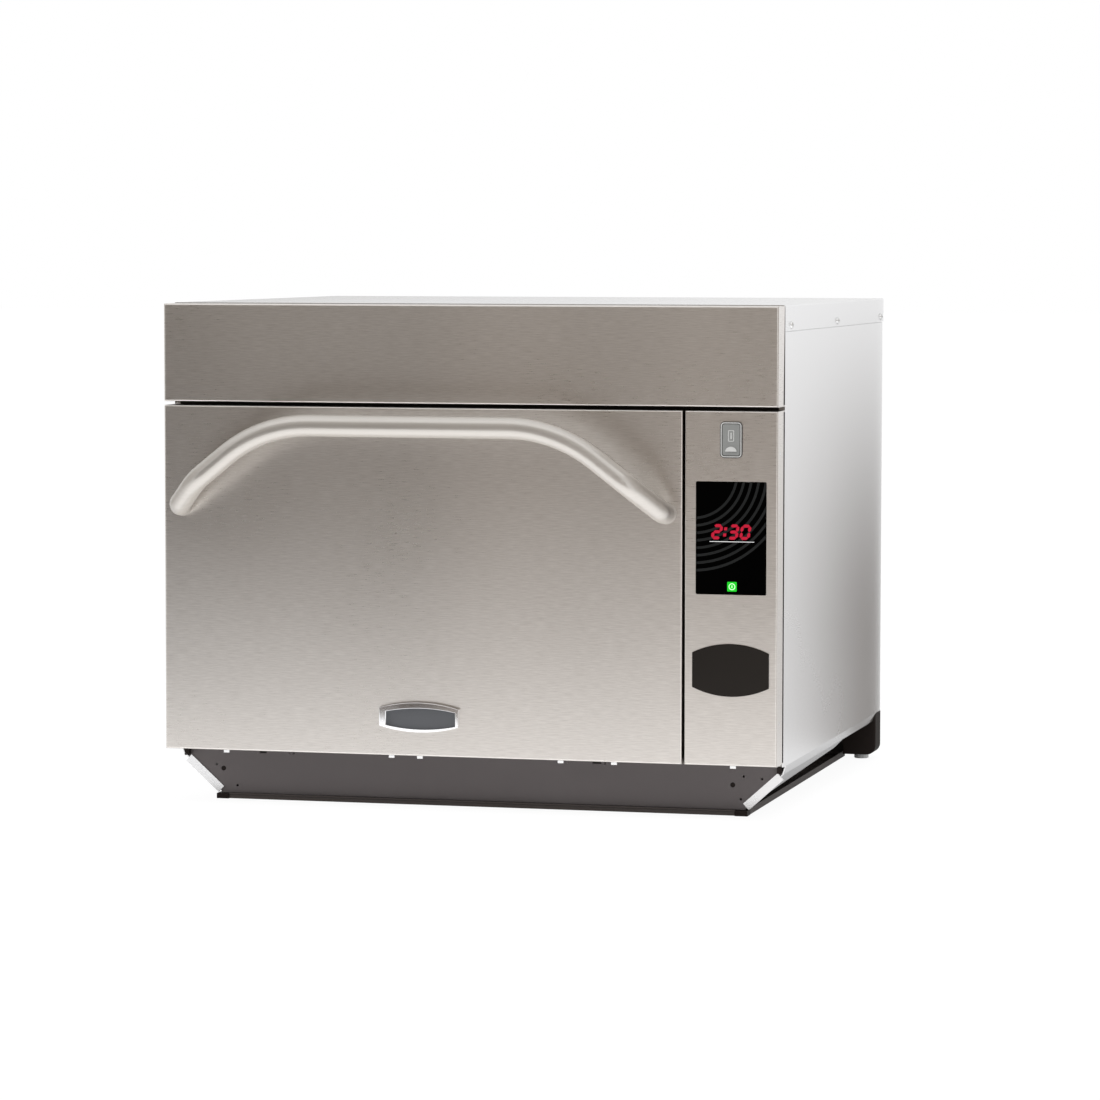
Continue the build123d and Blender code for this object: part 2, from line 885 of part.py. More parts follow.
def cavity_liner():
    y = (deep(frame_back), deep(liner_back))
    x = (cavity_left - frame_sheet, cavity_right + frame_sheet)
    z = (cavity_floor - frame_sheet, cavity_top + frame_sheet)
    body = block(x, y, z)
    inside_y = (y[0] - cut, deep(cavity_back))
    well_y = deep(cavity_middle)
    well_low = well_floor - frame_sheet
    low = (door_middle, well_y, well_low)
    body += rod(low, (door_middle, well_y, cavity_floor), well_radius + frame_sheet)
    body -= block((cavity_left, cavity_right), inside_y, (cavity_floor, cavity_top))
    body -= rod((door_middle, well_y, well_floor), (door_middle, well_y, cavity_floor + cut), well_radius)
    below = (door_middle, well_y, well_low - cut)
    body -= rod(below, (door_middle, well_y, cavity_floor), stirrer_shaft_hole)
    opening = plenum_half - frame_sheet
    through = (deep(cavity_back - cut), deep(liner_back + cut))
    body -= block(about(door_middle, opening), through, about(cavity_middle_height, opening))
    for y_middle in guide_places():
        wall = (cavity_right - cut, cavity_right + cut)
        body -= block(wall, about(y_middle, feed_length / 2), about(guide_centre_height, feed_height / 2))
    for x_end in (door_middle - 3 * element_spacing / 2, door_middle + 3 * element_spacing / 2):
        start = (x_end, deep(cavity_back - cut), element_height())
        body -= rod(start, (x_end, deep(liner_back + cut), element_height()), element_radius + element_fit)
    return fused([body] + element_hangers())


def element_height():
    return cavity_top - element_drop


def element_hangers():
    """Strips under the roof that carry the element in round holes."""
    pieces = []
    z = element_height()
    for step in (-3, -1, 1, 3):
        x = door_middle + step * element_spacing / 2
        for y_middle in (deep(frame_back + cavity_depth / 3), deep(frame_back + cavity_depth * 2 / 3)):
            strip_z = (z - element_radius - hanger_lip, cavity_top)
            strip = block(about(x, hanger_width / 2), about(y_middle, hanger_thickness / 2), strip_z)
            ends = ((x, y_middle - cut, z), (x, y_middle + cut, z))
            pieces.append(strip - rod(*ends, element_radius + element_fit))
    return pieces


def radiant_element():
    z = element_height()
    outer = 3 * element_spacing / 2
    inner = element_spacing / 2
    front = deep(frame_back + element_front)
    back = deep(cavity_back - element_back)
    tail = deep(liner_back + element_tail)
    points = [
        (-outer, tail), (-outer, front), (-inner, front), (-inner, back),
        (inner, back), (inner, front), (outer, front), (outer, tail),
    ]
    path = FilletPolyline(*[(door_middle + x, y, z) for x, y in points], radius=element_bend)
    section = Plane(origin=path @ 0, z_dir=path % 0) * Circle(element_radius)
    return sweep(section, path=path.wire())


def ceramic_floor():
    x = (cavity_left + ceramic_margin, cavity_right - ceramic_margin)
    y = (deep(frame_front + plug_depth + ceramic_margin), deep(cavity_back - ceramic_margin))
    body = block(x, y, (cavity_floor, cavity_floor + ceramic_thickness))
    return fillet(body.edges().filter_by(Axis.Z), ceramic_margin)


def oven_rack():
    base = cavity_floor + ceramic_thickness
    top = base + rack_height
    x = (cavity_left + rack_margin, cavity_right - rack_margin)
    y = (deep(frame_back + plug_depth + rack_margin), deep(cavity_back - 2 * rack_margin))
    frame = [
        rod((x[0], y[0], top), (x[1], y[0], top), rack_wire),
        rod((x[0], y[1], top), (x[1], y[1], top), rack_wire),
        rod((x[0], y[0], top), (x[0], y[1], top), rack_wire),
        rod((x[1], y[0], top), (x[1], y[1], top), rack_wire),
    ]
    frame += [Pos(cx, cy, top) * Sphere(rack_wire) for cx in x for cy in y]
    for number in range(rack_rods):
        rod_x = x[0] + (number + 1) * (x[1] - x[0]) / (rack_rods + 1)
        frame.append(rod((rod_x, y[0], top), (rod_x, y[1], top), rack_rod))
    for leg_x in (x[0] + rack_leg_inset, x[1] - rack_leg_inset):
        for leg_y in y:
            frame.append(rod((leg_x, leg_y, base), (leg_x, leg_y, top), rack_wire))
    return fused(frame)


def guide_places():
    return [deep(cavity_middle + side * guide_spacing / 2) for side in (-1, 1)]


def feed_covers():
    pieces = []
    for y_middle in guide_places():
        y = about(y_middle, feed_length / 2 + feed_cover_margin)
        z = about(guide_centre_height, feed_height / 2 + feed_cover_margin)
        pieces.append(block((cavity_right - feed_cover_thickness, cavity_right), y, z))
    return Compound(children=pieces)


def waveguide(y_middle):
    x = (cavity_right + frame_sheet, cavity_right + frame_sheet + guide_thickness)
    y = about(y_middle, guide_length / 2)
    z = about(guide_centre_height, guide_height / 2)
    body = block(x, y, z)
    inside_y = about(y_middle, guide_length / 2 - frame_sheet)
    inside_z = about(guide_centre_height, guide_height / 2 - frame_sheet)
    body -= block((x[0] + frame_sheet, x[1] - frame_sheet), inside_y, inside_z)
    slot_z = about(guide_centre_height, feed_height / 2)
    body -= block((x[0] - cut, x[0] + cut), about(y_middle, feed_length / 2), slot_z)
    centre = (x[1] - cut, y_middle, guide_centre_height)
    return body - rod(centre, (x[1] + cut, y_middle, guide_centre_height), antenna_hole)


def magnetron(y_middle):
    start = cavity_right + frame_sheet + guide_thickness
    end = start + magnetron_depth
    y = about(y_middle, magnetron_length / 2)
    z = about(guide_centre_height, magnetron_height / 2)
    frame = block((start, end), y, z)
    inner_z = about(guide_centre_height, magnetron_height / 2 - magnetron_frame)
    frame -= block((start + magnetron_frame, end - magnetron_frame), (y[0] - cut, y[1] + cut), inner_z)
    middle = (y_middle, guide_centre_height)
    core = rod((start, *middle), (end, *middle), magnetron_core)
    antenna = rod((start - antenna_length, *middle), (start, *middle), antenna_radius)
    pieces = [frame, core, antenna]
    spacing = (magnetron_depth - 2 * magnetron_frame) / (magnetron_fins + 1)
    for number in range(magnetron_fins):
        x = start + magnetron_frame + (number + 1) * spacing
        pieces.append(block(about(x, magnetron_fin / 2), y, inner_z))
    return fused(pieces)


def insulation():
    x = (cavity_left - frame_sheet, cavity_right + frame_sheet)
    top = cavity_top + frame_sheet
    outer_x = (x[0] - insulation_thickness, x[1] + insulation_thickness)
    y = (deep(frame_back + insulation_margin), deep(cavity_back))
    body = block(outer_x, y, (cavity_floor, top + insulation_thickness))
    body -= block(x, (y[0] - cut, y[1] + cut), (cavity_floor - cut, top))
    for y_middle in guide_places():
        window_y = about(y_middle, guide_length / 2 + clearance)
        window_z = about(guide_centre_height, guide_height / 2 + clearance)
        body -= block((x[1] - cut, outer_x[1] + cut), window_y, window_z)
    return body


# Stirrer

def stirrer_axis():
    return (door_middle, deep(cavity_middle))


def stirrer():
    x, y = stirrer_axis()
    low = well_floor + stirrer_rise
    plate = rod((x, y, low), (x, y, low + stirrer_plate), stirrer_radius)
    for number in range(stirrer_slots):
        angle = math.radians(number * 360 / stirrer_slots)
        slot_x = x + stirrer_slot_circle * math.cos(angle)
        slot_y = y + stirrer_slot_circle * math.sin(angle)
        plate -= rod((slot_x, slot_y, low - cut), (slot_x, slot_y, low + cut), stirrer_slot_radius)
    hub = rod((x, y, low - stirrer_rise / 2), (x, y, low + stirrer_plate), stirrer_hub)
    shaft_end = well_floor - frame_sheet - stirrer_bore_depth
    return fused([plate, hub, rod((x, y, shaft_end + running), (x, y, low), stirrer_shaft)])


def stirrer_motor():
    x, y = stirrer_axis()
    top = well_floor - frame_sheet
    body = rod((x, y, top - stirrer_motor_height), (x, y, top), stirrer_motor_radius)
    return body - rod((x, y, top - stirrer_bore_depth), (x, y, top + cut), stirrer_shaft + running)


# Convection system

def fan_plenum():
    y = (deep(liner_back), deep(plenum_back))
    body = block(about(door_middle, plenum_half), y, about(cavity_middle_height, plenum_half))
    half = plenum_half - frame_sheet
    inside = (y[0] - cut, y[1] - frame_sheet)
    body -= block(about(door_middle, half), inside, about(cavity_middle_height, half))
    through = (y[1] - cut, y[1] + cut)
    shaft = [(door_middle, y_end, cavity_middle_height) for y_end in through]
    body -= rod(*shaft, shaft_hole)
    for x in heater_leg_places():
        z = cavity_middle_height - heater_radius
        body -= rod((x, through[0], z), (x, through[1], z), heater_tube + element_fit)
    return body


def rear_baffle():
    y = (deep(cavity_back - frame_sheet), deep(cavity_back))
    body = block(about(door_middle, baffle_half), y, about(cavity_middle_height, baffle_half))
    holes = []
    for row in range(baffle_rows):
        for column in range(baffle_rows):
            x = door_middle + (column - (baffle_rows - 1) / 2) * baffle_pitch
            z = cavity_middle_height + (row - (baffle_rows - 1) / 2) * baffle_pitch
            holes.append(rod((x, y[0] - cut, z), (x, y[1] + cut, z), baffle_hole))
    for side in (-1, 1):
        slot_x = about(door_middle + side * (fan_radius + heater_radius) / 2, baffle_hole)
        holes.append(block(slot_x, (y[0] - cut, y[1] + cut), about(cavity_middle_height, fan_radius)))
    return body - holes


def convection_fan():
    z = cavity_middle_height
    back = liner_back + fan_front_gap + fan_blade_depth
    plate = rod((door_middle, deep(back), z), (door_middle, deep(back + fan_plate), z), fan_radius)
    front = deep(back - fan_blade_depth)
    hub = rod((door_middle, front, z), (door_middle, deep(back), z), fan_hub_radius)
    pieces = [plate, hub]
    for number in range(fan_blades):
        radial = about((fan_blade_start + fan_radius) / 2, (fan_radius - fan_blade_start) / 2 - running)
        blade = block(radial, (front, deep(back)), about(0, fan_blade_thickness / 2))
        turn = Rotation(0, number * 360 / fan_blades, 0)
        pieces.append(Pos(door_middle, 0, z) * turn * blade)
    shaft_end = deep(motor_front + motor_bore_depth - clearance)
    pieces.append(rod((door_middle, deep(back), z), (door_middle, shaft_end, z), shaft_radius))
    return fused(pieces)


def heater_leg_places():
    return about(door_middle, heater_leg_spacing / 2)


def ring_heater():
    y = deep(liner_back + plenum_depth / 2)
    upright = Pos(door_middle, y, cavity_middle_height) * Rotation(90, 0, 0)
    ring = upright * Torus(heater_radius, heater_tube)
    pieces = [ring]
    z = cavity_middle_height - heater_radius
    for x in heater_leg_places():
        pieces.append(rod((x, y, z), (x, y + heater_leg_length, z), heater_tube))
    bridge = rod((heater_leg_places()[0], y, z), (heater_leg_places()[1], y, z), heater_tube)
    return fused(pieces + [bridge])


def convection_motor():
    z = cavity_middle_height
    front = deep(motor_front)
    body = rod((door_middle, front, z), (door_middle, front + motor_length, z), motor_radius)
    pieces = [body]
    for number in range(motor_posts):
        angle = math.radians((number + 1 / 2) * 360 / motor_posts)
        x = door_middle + motor_post_circle * math.cos(angle)
        post_z = z + motor_post_circle * math.sin(angle)
        pieces.append(rod((x, deep(plenum_back), post_z), (x, front, post_z), motor_post_radius))
    bore_end = front + motor_bore_depth
    bore = rod((door_middle, front - cut, z), (door_middle, bore_end, z), shaft_radius + running)
    return fused(pieces) - bore


# Power parts

def transformer(number):
    x = half_width - transformer_inset
    y = deep(transformer_first + number * transformer_spacing)
    core = block(about(x, transformer_width / 2), about(y, transformer_length / 2),
                 (floor_top, floor_top + transformer_height))
    coil_middle = floor_top + transformer_height / 2
    coil = block(about(x, transformer_coil_width / 2), about(y, transformer_coil_length / 2),
                 about(coil_middle, transformer_coil_height / 2))
    return core + coil


def capacitors():
    pieces = []
    x = half_width - capacitor_inset
    for number in range(2):
        y = deep(capacitor_first + number * capacitor_spacing)
        top = floor_top + capacitor_height
        can = block(about(x, capacitor_spread), about(y, capacitor_radius), (floor_top, top))
        can = fillet(can.edges().filter_by(Axis.Z), capacitor_radius - sheet)
        for side in (-1, 1):
            post_x = x + side * capacitor_spread / 2
            can += rod((post_x, y, top), (post_x, y, top + terminal_height), terminal_radius)
        pieces.append(can)
    return Compound(children=pieces)


def cooler_axis():
    return (half_width - cooler_inset, cooler_centre_height)


def cooling_fan_frame():
    x, z = cooler_axis()
    back = deep(back_face - sheet)
    y = (back - cooler_depth, back)
    body = block(about(x, cooler_size / 2), y, about(z, cooler_size / 2))
    body -= rod((x, y[0] - cut, z), (x, y[1] + cut, z), cooler_duct)
    boss_y = (back - cooler_boss_depth, back)
    boss = rod((x, boss_y[0], z), (x, boss_y[1], z), cooler_boss)
    reach = cooler_duct + running
    struts = [
        block(about(x, reach), boss_y, about(z, cooler_strut / 2)),
        block(about(x, cooler_strut / 2), boss_y, about(z, reach)),
    ]
    bore = rod((x, y[0], z), (x, y[1] + cut, z), cooler_shaft + running)
    return fused([body, boss] + struts) - bore


def cooling_fan():
    x, z = cooler_axis()
    back = deep(back_face - sheet)
    hub_back = back - cooler_boss_depth - clearance
    hub = rod((x, hub_back - cooler_hub_depth, z), (x, hub_back, z), cooler_hub)
    pieces = [hub, rod((x, hub_back, z), (x, back, z), cooler_shaft)]
    tip = cooler_duct - cooler_tip_gap
    middle_y = hub_back - cooler_hub_depth / 2
    for number in range(cooler_blades):
        reach = about((cooler_hub + tip) / 2, (tip - cooler_hub) / 2 + running)
        blade = block((reach[0] - sheet, reach[1]), about(0, cooler_blade_depth / 2),
                      about(0, cooler_blade_thickness / 2))
        blade = Rotation(cooler_blade_angle, 0, 0) * blade
        pieces.append(Pos(x, middle_y, z) * Rotation(0, number * 360 / cooler_blades, 0) * blade)
    return fused(pieces)


def control_board():
    x = half_width - board_inset
    z = board_centre_height
    front = frame_back + board_standoff
    board_y = (deep(front), deep(front + board_thickness))
    board = block(about(x, board_width / 2), board_y, about(z, board_height / 2))
    pieces = [board]
    for side in (-1, 1):
        for end in (-1, 1):
            post_x = x + side * (board_width / 2 - board_post_inset)
            post_z = z + end * (board_height / 2 - board_post_inset)
            post = [(post_x, deep(place), post_z) for place in (frame_back, front)]
            pieces.append(rod(*post, board_post_radius))
    back = front + board_thickness
    for across, up, wide, tall in board_part_shares:
        part_x = about(x + across * board_width, wide * board_width / 2)
        part_z = about(z + up * board_height, tall * board_height / 2)
        pieces.append(block(part_x, (deep(back), deep(back + board_part_height)), part_z))
    return fused(pieces)


def tongue_places():
    return (door_left + tongue_inset, door_right - tongue_inset + tongue_foot)


def switch_block(side):
    x = tongue_places()[0 if side < 0 else 1]
    near = x + side * (tongue_thickness / 2 + tongue_window + clearance)
    far = near + side * switch_width
    y = (deep(frame_back), deep(frame_back + switch_length))
    return block((near, far), y, about(tongue_centre_height, switch_height / 2))


# Screen and port

def touch_screen():
    x, z = screen_span()
    x = (x[0] + clearance, x[1] - clearance)
    z = (z[0] + clearance, z[1] - clearance)
    return rounded_block(x, (deep(screen_gap), deep(sheet)), z, screen_corner - clearance)


def display_module():
    x, z = screen_span()
    x = (x[0] - module_margin, x[1] + module_margin)
    z = (z[0] - module_margin, z[1] + module_margin)
    return block(x, (deep(sheet), deep(sheet + module_depth)), z)


def port_housing():
    x, z = port_span()
    bezel = rounded_block(x, (deep(-port_rise), deep(0)), z, port_corner)
    inner_x = (x[0] + port_border, x[1] - port_border)
    inner_z = (z[0] + port_border, z[1] - port_border)
    bezel -= rounded_block(inner_x, (deep(-port_rise - cut), deep(cut)), inner_z, port_corner - port_border)
    gap = port_border + flap_gap + running
    sleeve_x = (x[0] + gap, x[1] - gap)
    sleeve_z = (z[0] + gap, z[1] - gap)
    body = block(sleeve_x, (deep(-port_web), deep(port_body_depth)), sleeve_z)
    flange = block(x, (deep(sheet), deep(2 * sheet)), z)
    web_x = (x[0] + port_border - running, x[1] - port_border + running)
    web_z = (z[0] + port_border - running, z[1] - port_border + running)
    web = rounded_block(web_x, (deep(-port_web), deep(0)), web_z, port_corner - port_border)
    middle_z = (z[0] + z[1]) / 2
    socket_y = (deep(-cut), deep(port_socket_depth))
    socket_x = about(panel_middle, port_socket_width / 2)
    socket = block(socket_x, socket_y, about(middle_z, port_socket_height / 2))
    return fused([bezel, web, body, flange]) - socket


def port_cover():
    x, z = port_span()
    inset = port_border + flap_gap
    flap_x = (x[0] + inset, x[1] - inset)
    flap_z = (z[0] + inset, z[1] - inset)
    y = (deep(-port_rise), deep(flap_thickness - port_rise))
    flap = rounded_block(flap_x, y, flap_z, port_corner - inset)
    low = flap_z[0] + catch_lift
    disc = rod((panel_middle, y[0] - catch_rise, low), (panel_middle, y[0], low), catch_radius)
    below = (low - 2 * catch_radius, low)
    disc -= block(about(panel_middle, 2 * catch_radius), (y[0] - cut, y[0]), below)
    return flap + disc


def panel_plate():
    return arched(panel_middle, plate_top, plate_width, plate_height, plate_straight,
                  (deep(-plate_thickness), deep(0)))


# Door

def door_skin():
    body = folded_pan((door_left, door_right), (front_bottom, front_top), door_shell)
    for x, z in handle_feet():
        body -= rod((x, deep(-cut), z), (x, deep(cut), z), handle_bolt_radius + clearance)
    return body


def door_inner():
    x = (door_left + door_plate_gap, door_right - door_plate_gap)
    z = (front_bottom + door_plate_gap, front_top - door_plate_gap)
    plate = block(x, (deep(door_shell), deep(door_plate_back)), z)
    plug_x = (cavity_left + plug_gap, cavity_right - plug_gap)
    plug_z = (cavity_floor + plug_gap, cavity_top - plug_gap)
    plug_back = frame_front + plug_depth - sheet
    plug = block(plug_x, (deep(door_shell), deep(plug_back)), plug_z)
    plug = fillet(plug.edges().filter_by(Axis.Y), bend)
    hollow_x = (plug_x[0] + frame_sheet, plug_x[1] - frame_sheet)
    hollow_z = (plug_z[0] + frame_sheet, plug_z[1] - frame_sheet)
    hollow = block(hollow_x, (deep(door_shell - cut), deep(plug_back - frame_sheet)), hollow_z)
    return fused([plate, plug]) - hollow + door_choke()


def door_choke():
    """The slotted ring wall that stands inside the door round the plug."""
    outer_x = (cavity_left - choke_offset, cavity_right + choke_offset)
    outer_z = (cavity_floor - choke_offset, cavity_top + choke_offset)
    y = (deep(door_shell - choke_height), deep(door_shell))
    ring = block(outer_x, y, outer_z)
    inner_x = (outer_x[0] + frame_sheet, outer_x[1] - frame_sheet)
    inner_z = (outer_z[0] + frame_sheet, outer_z[1] - frame_sheet)
    ring -= block(inner_x, (y[0] - cut, y[1] + cut), inner_z)
    slots = []
    slot_y = (y[0] - cut, y[0] + choke_slot_depth)
    across = int((outer_x[1] - outer_x[0] - choke_pitch) / choke_pitch)
    for number in range(across):
        x = (outer_x[0] + outer_x[1]) / 2 + (number - (across - 1) / 2) * choke_pitch
        slots.append(block(about(x, choke_slot / 2), slot_y, (outer_z[0] - cut, outer_z[1] + cut)))
    up = int((outer_z[1] - outer_z[0] - choke_pitch) / choke_pitch)
    for number in range(up):
        z = (outer_z[0] + outer_z[1]) / 2 + (number - (up - 1) / 2) * choke_pitch
        slots.append(block((outer_x[0] - cut, outer_x[1] + cut), slot_y, about(z, choke_slot / 2)))
    return ring - slots


def door_seal():
    y = (deep(door_plate_back), deep(frame_front - clearance))
    outer = seal_offset + seal_width
    body = block((cavity_left - outer, cavity_right + outer), y, (cavity_floor - outer, cavity_top + outer))
    body = fillet(body.edges().filter_by(Axis.Y), outer)
    hole_x = (cavity_left - seal_offset, cavity_right + seal_offset)
    hole_z = (cavity_floor - seal_offset, cavity_top + seal_offset)
    hole = block(hole_x, (y[0] - cut, y[1] + cut), hole_z)
    return body - fillet(hole.edges().filter_by(Axis.Y), seal_offset)


def handle_feet():
    z = front_top - handle_foot_drop
    return [(handle_middle - handle_half_span, z), (handle_middle + handle_half_span, z)]


def handle_path():
    """The centre line of the handle: out from the door, up and in, across, and back the same way."""
    half = [
        (handle_half_span, 0, 0),
        (handle_half_span - handle_elbow_inset, handle_elbow_reach, handle_elbow_rise),
        (handle_half_span - handle_heel_inset, handle_heel_reach, handle_heel_rise),
        (handle_half_span - handle_bar_inset, handle_standoff, handle_bar_rise),
    ]
    foot = front_top - handle_foot_drop
    left = [(handle_middle - across, deep(-reach), foot + rise) for across, reach, rise in half]
    right = [(handle_middle + across, deep(-reach), foot + rise) for across, reach, rise in reversed(half)]
    bends = [handle_elbow_bend, handle_heel_bend, handle_bar_bend]
    return FilletPolyline(*(left + right), radius=bends + bends[::-1])


def handle():
    path = handle_path()
    plane = Plane(origin=path @ 0, z_dir=path % 0)
    outside = sweep(plane * Circle(handle_radius), path=path.wire())
    inside = sweep(plane * Circle(handle_radius - handle_wall), path=path.wire())
    tube = outside - inside
    half = handle_half_span + 2 * handle_radius
    behind = block(about(handle_middle, half), (deep(0), deep(2 * handle_radius)),
                   about(front_top - handle_foot_drop, 2 * handle_radius))
    return tube - behind


def handle_bolts():
    """The plugs in the tube ends with the bolts that hold them through the skin."""
    pieces = []
    path = handle_path()
    ways = (path % 0, -(path % 1))
    for (x, z), way in zip(handle_feet(), ways):
        foot = Vector(x, deep(0), z)
        plug_radius = handle_radius - handle_wall - 2 * clearance
        plug = rod(foot - way * handle_radius, foot + way * handle_plug, plug_radius)
        behind = (deep(0), deep(2 * handle_radius))
        plug -= block(about(x, 2 * handle_radius), behind, about(z, 2 * handle_radius))
        inner = deep(sheet)
        bolt = rod((x, deep(-sheet), z), (x, inner, z), handle_bolt_radius)
        head = rod((x, inner, z), (x, inner + handle_bolt_head_height, z), handle_bolt_head)
        pieces.append(fused([plug, bolt, head]))
    return Compound(children=pieces)


def badge_frame():
    y = (deep(-badge_rise), deep(0))
    body = arched(door_middle, badge_top, badge_width, badge_height, badge_straight, y)
    return body - badge_opening(0, (y[0] - cut, y[1] + cut))


def badge_opening(gap, y):
    """The shape of the hole in the badge's frame, made smaller all round by a gap."""
    side, high = badge_rim_side + gap, badge_rim_top + gap
    return arched(door_middle + badge_plate_shift, badge_top - badge_plate_drop - high, badge_width - 2 * side,
                  badge_height - 2 * high, badge_straight - high, y)


def badge_plate():
    return badge_opening(running, (deep(-badge_plate_thickness), deep(0)))


def door_tongues():
    pieces = []
    for x in tongue_places():
        z = about(tongue_centre_height, tongue_height / 2)
        blade_y = (deep(door_plate_back), deep(frame_back + tongue_reach))
        blade = block(about(x, tongue_thickness / 2), blade_y, z)
        notch_y = about(deep(frame_back + tongue_reach / 2), tongue_height / 4)
        blade -= block(about(x, tongue_thickness), notch_y, (z[0] - cut, z[0] + tongue_height / 4))
        foot_y = (deep(door_plate_back), deep(door_plate_back + frame_sheet))
        foot = block(about(x, tongue_foot / 2), foot_y, about(tongue_centre_height, tongue_height))
        pieces.append(blade + foot)
    return Compound(children=pieces)


# Hinges

def hinge_leaf_at(x):
    z = hinge_height
    leaf_y = (deep(door_plate_back), deep(door_plate_back + hinge_leaf))
    half = hinge_barrel / 2
    low = z - hinge_barrel_radius
    leaf = block(about(x, half), leaf_y, (low, z + hinge_leaf_height))
    web = block(about(x, half), (leaf_y[0], deep(hinge_behind)), (low, low + hinge_leaf))
    barrel = rod((x - half, deep(hinge_behind), z), (x + half, deep(hinge_behind), z), hinge_barrel_radius)
    bore = rod((x - half - cut, deep(hinge_behind), z), (x + half + cut, deep(hinge_behind), z),
               hinge_pin_radius + running)
    return fused([leaf, web, barrel]) - bore


def hinge_bracket(side):
    z = hinge_height
    y = deep(hinge_behind)
    near, far = hinge_ends(side)
    pieces = []
    for start, end in ((near, near - side * hinge_ear), (far, far + side * hinge_ear)):
        eye = rod((start, y, z), (end, y, z), hinge_ear_radius)
        arm = block((start, end), (y, y + hinge_ear_length), (floor_top, floor_top + hinge_ear_height))
        pieces += [eye, arm]
    foot_y = (deep(hinge_behind + hinge_ear_radius + hinge_notch), y + hinge_ear_length)
    ends = (near - side * hinge_ear, far + side * hinge_ear)
    foot = block(ends, foot_y, (floor_top, floor_top + hinge_foot))
    pin = rod((ends[0], y, z), (ends[1], y, z), hinge_pin_radius)
    return fused(pieces + [foot, pin])


def hinge_springs():
    """The torsion springs beside the barrels, each as a plain sleeve on its pin."""
    pieces = []
    for side, x in zip((-1, 1), hinge_places()):
        start = x + side * (hinge_barrel / 2 + hinge_gap)
        end = start + side * hinge_spring_length
        y = deep(hinge_behind)
        outer = rod((start, y, hinge_height), (end, y, hinge_height), hinge_pin_radius + hinge_spring_wall)
        bore = rod((start - side * cut, y, hinge_height), (end + side * cut, y, hinge_height),
                   hinge_pin_radius + running)
        pieces.append(outer - bore)
    return Compound(children=pieces)


PARTS = {
    "top_cover": top_cover(),
    "side_panel_left": side_panel(-1),
    "side_panel_right": side_panel(1),
    "back_panel": back_panel(),
    "inlet_gland": inlet_gland(),
    "fascia": fascia(),
    "control_panel": control_panel(),
    "skin_screws": skin_screws(),
    "panel_screws": panel_screws(),
    "chassis_front": chassis_front(),
    "chassis_floor": chassis_floor(),
    "front_clips": front_clips(),
    "base_front": base_front(),
    "base_pan": base_pan(),
    "front_feet": front_feet(),
    "rear_foot_left": rear_foot(-1),
    "rear_foot_right": rear_foot(1),
    "corner_brackets": corner_brackets(),
    "cavity_liner": cavity_liner(),
    "radiant_element": radiant_element(),
    "ceramic_floor": ceramic_floor(),
    "oven_rack": oven_rack(),
    "feed_covers": feed_covers(),
    "waveguide_front": waveguide(guide_places()[0]),
    "waveguide_rear": waveguide(guide_places()[1]),
    "magnetron_front": magnetron(guide_places()[0]),
    "magnetron_rear": magnetron(guide_places()[1]),
    "insulation": insulation(),
    "stirrer": stirrer(),
    "stirrer_motor": stirrer_motor(),
    "fan_plenum": fan_plenum(),
    "rear_baffle": rear_baffle(),
    "convection_fan": convection_fan(),
    "ring_heater": ring_heater(),
    "convection_motor": convection_motor(),
    "transformer_front": transformer(0),
    "transformer_rear": transformer(1),
    "capacitors": capacitors(),
    "cooling_fan": cooling_fan(),
    "cooling_fan_frame": cooling_fan_frame(),
    "control_board": control_board(),
    "switch_block_left": switch_block(-1),
    "switch_block_right": switch_block(1),
    "touch_screen": touch_screen(),
    "display_module": display_module(),
    "port_housing": port_housing(),
    "port_cover": port_cover(),
    "panel_plate": panel_plate(),
    "hinge_bracket_left": hinge_bracket(-1),
    "hinge_bracket_right": hinge_bracket(1),
    "hinge_springs": hinge_springs(),
    "door_skin": door_skin(),
    "door_inner": door_inner(),
    "door_seal": door_seal(),
    "door_tongues": door_tongues(),
    "handle": handle(),
    "handle_bolts": handle_bolts(),
    "badge_frame": badge_frame(),
    "badge_plate": badge_plate(),
    "hinge_leaves": Compound(children=[hinge_leaf_at(x) for x in hinge_places()]),
}

os.makedirs("parts", exist_ok=True)
for name, part in PARTS.items():
    part.label = name
    export_step(part, f"parts/{name}.step")
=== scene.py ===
# %% [markdown]
# # A speed oven, dressed for the camera
#
# The solids of this counter-top oven come from a CAD model: every sheet, screw and shaft already has its real
# shape and place. Here Blender gives them their finishes, adds the small parts that CAD leaves plain, and builds
# the studio that they are seen in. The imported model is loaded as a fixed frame, and nothing in it is moved.

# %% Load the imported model
import math

import bmesh
import bpy
from mathutils import Matrix, Vector


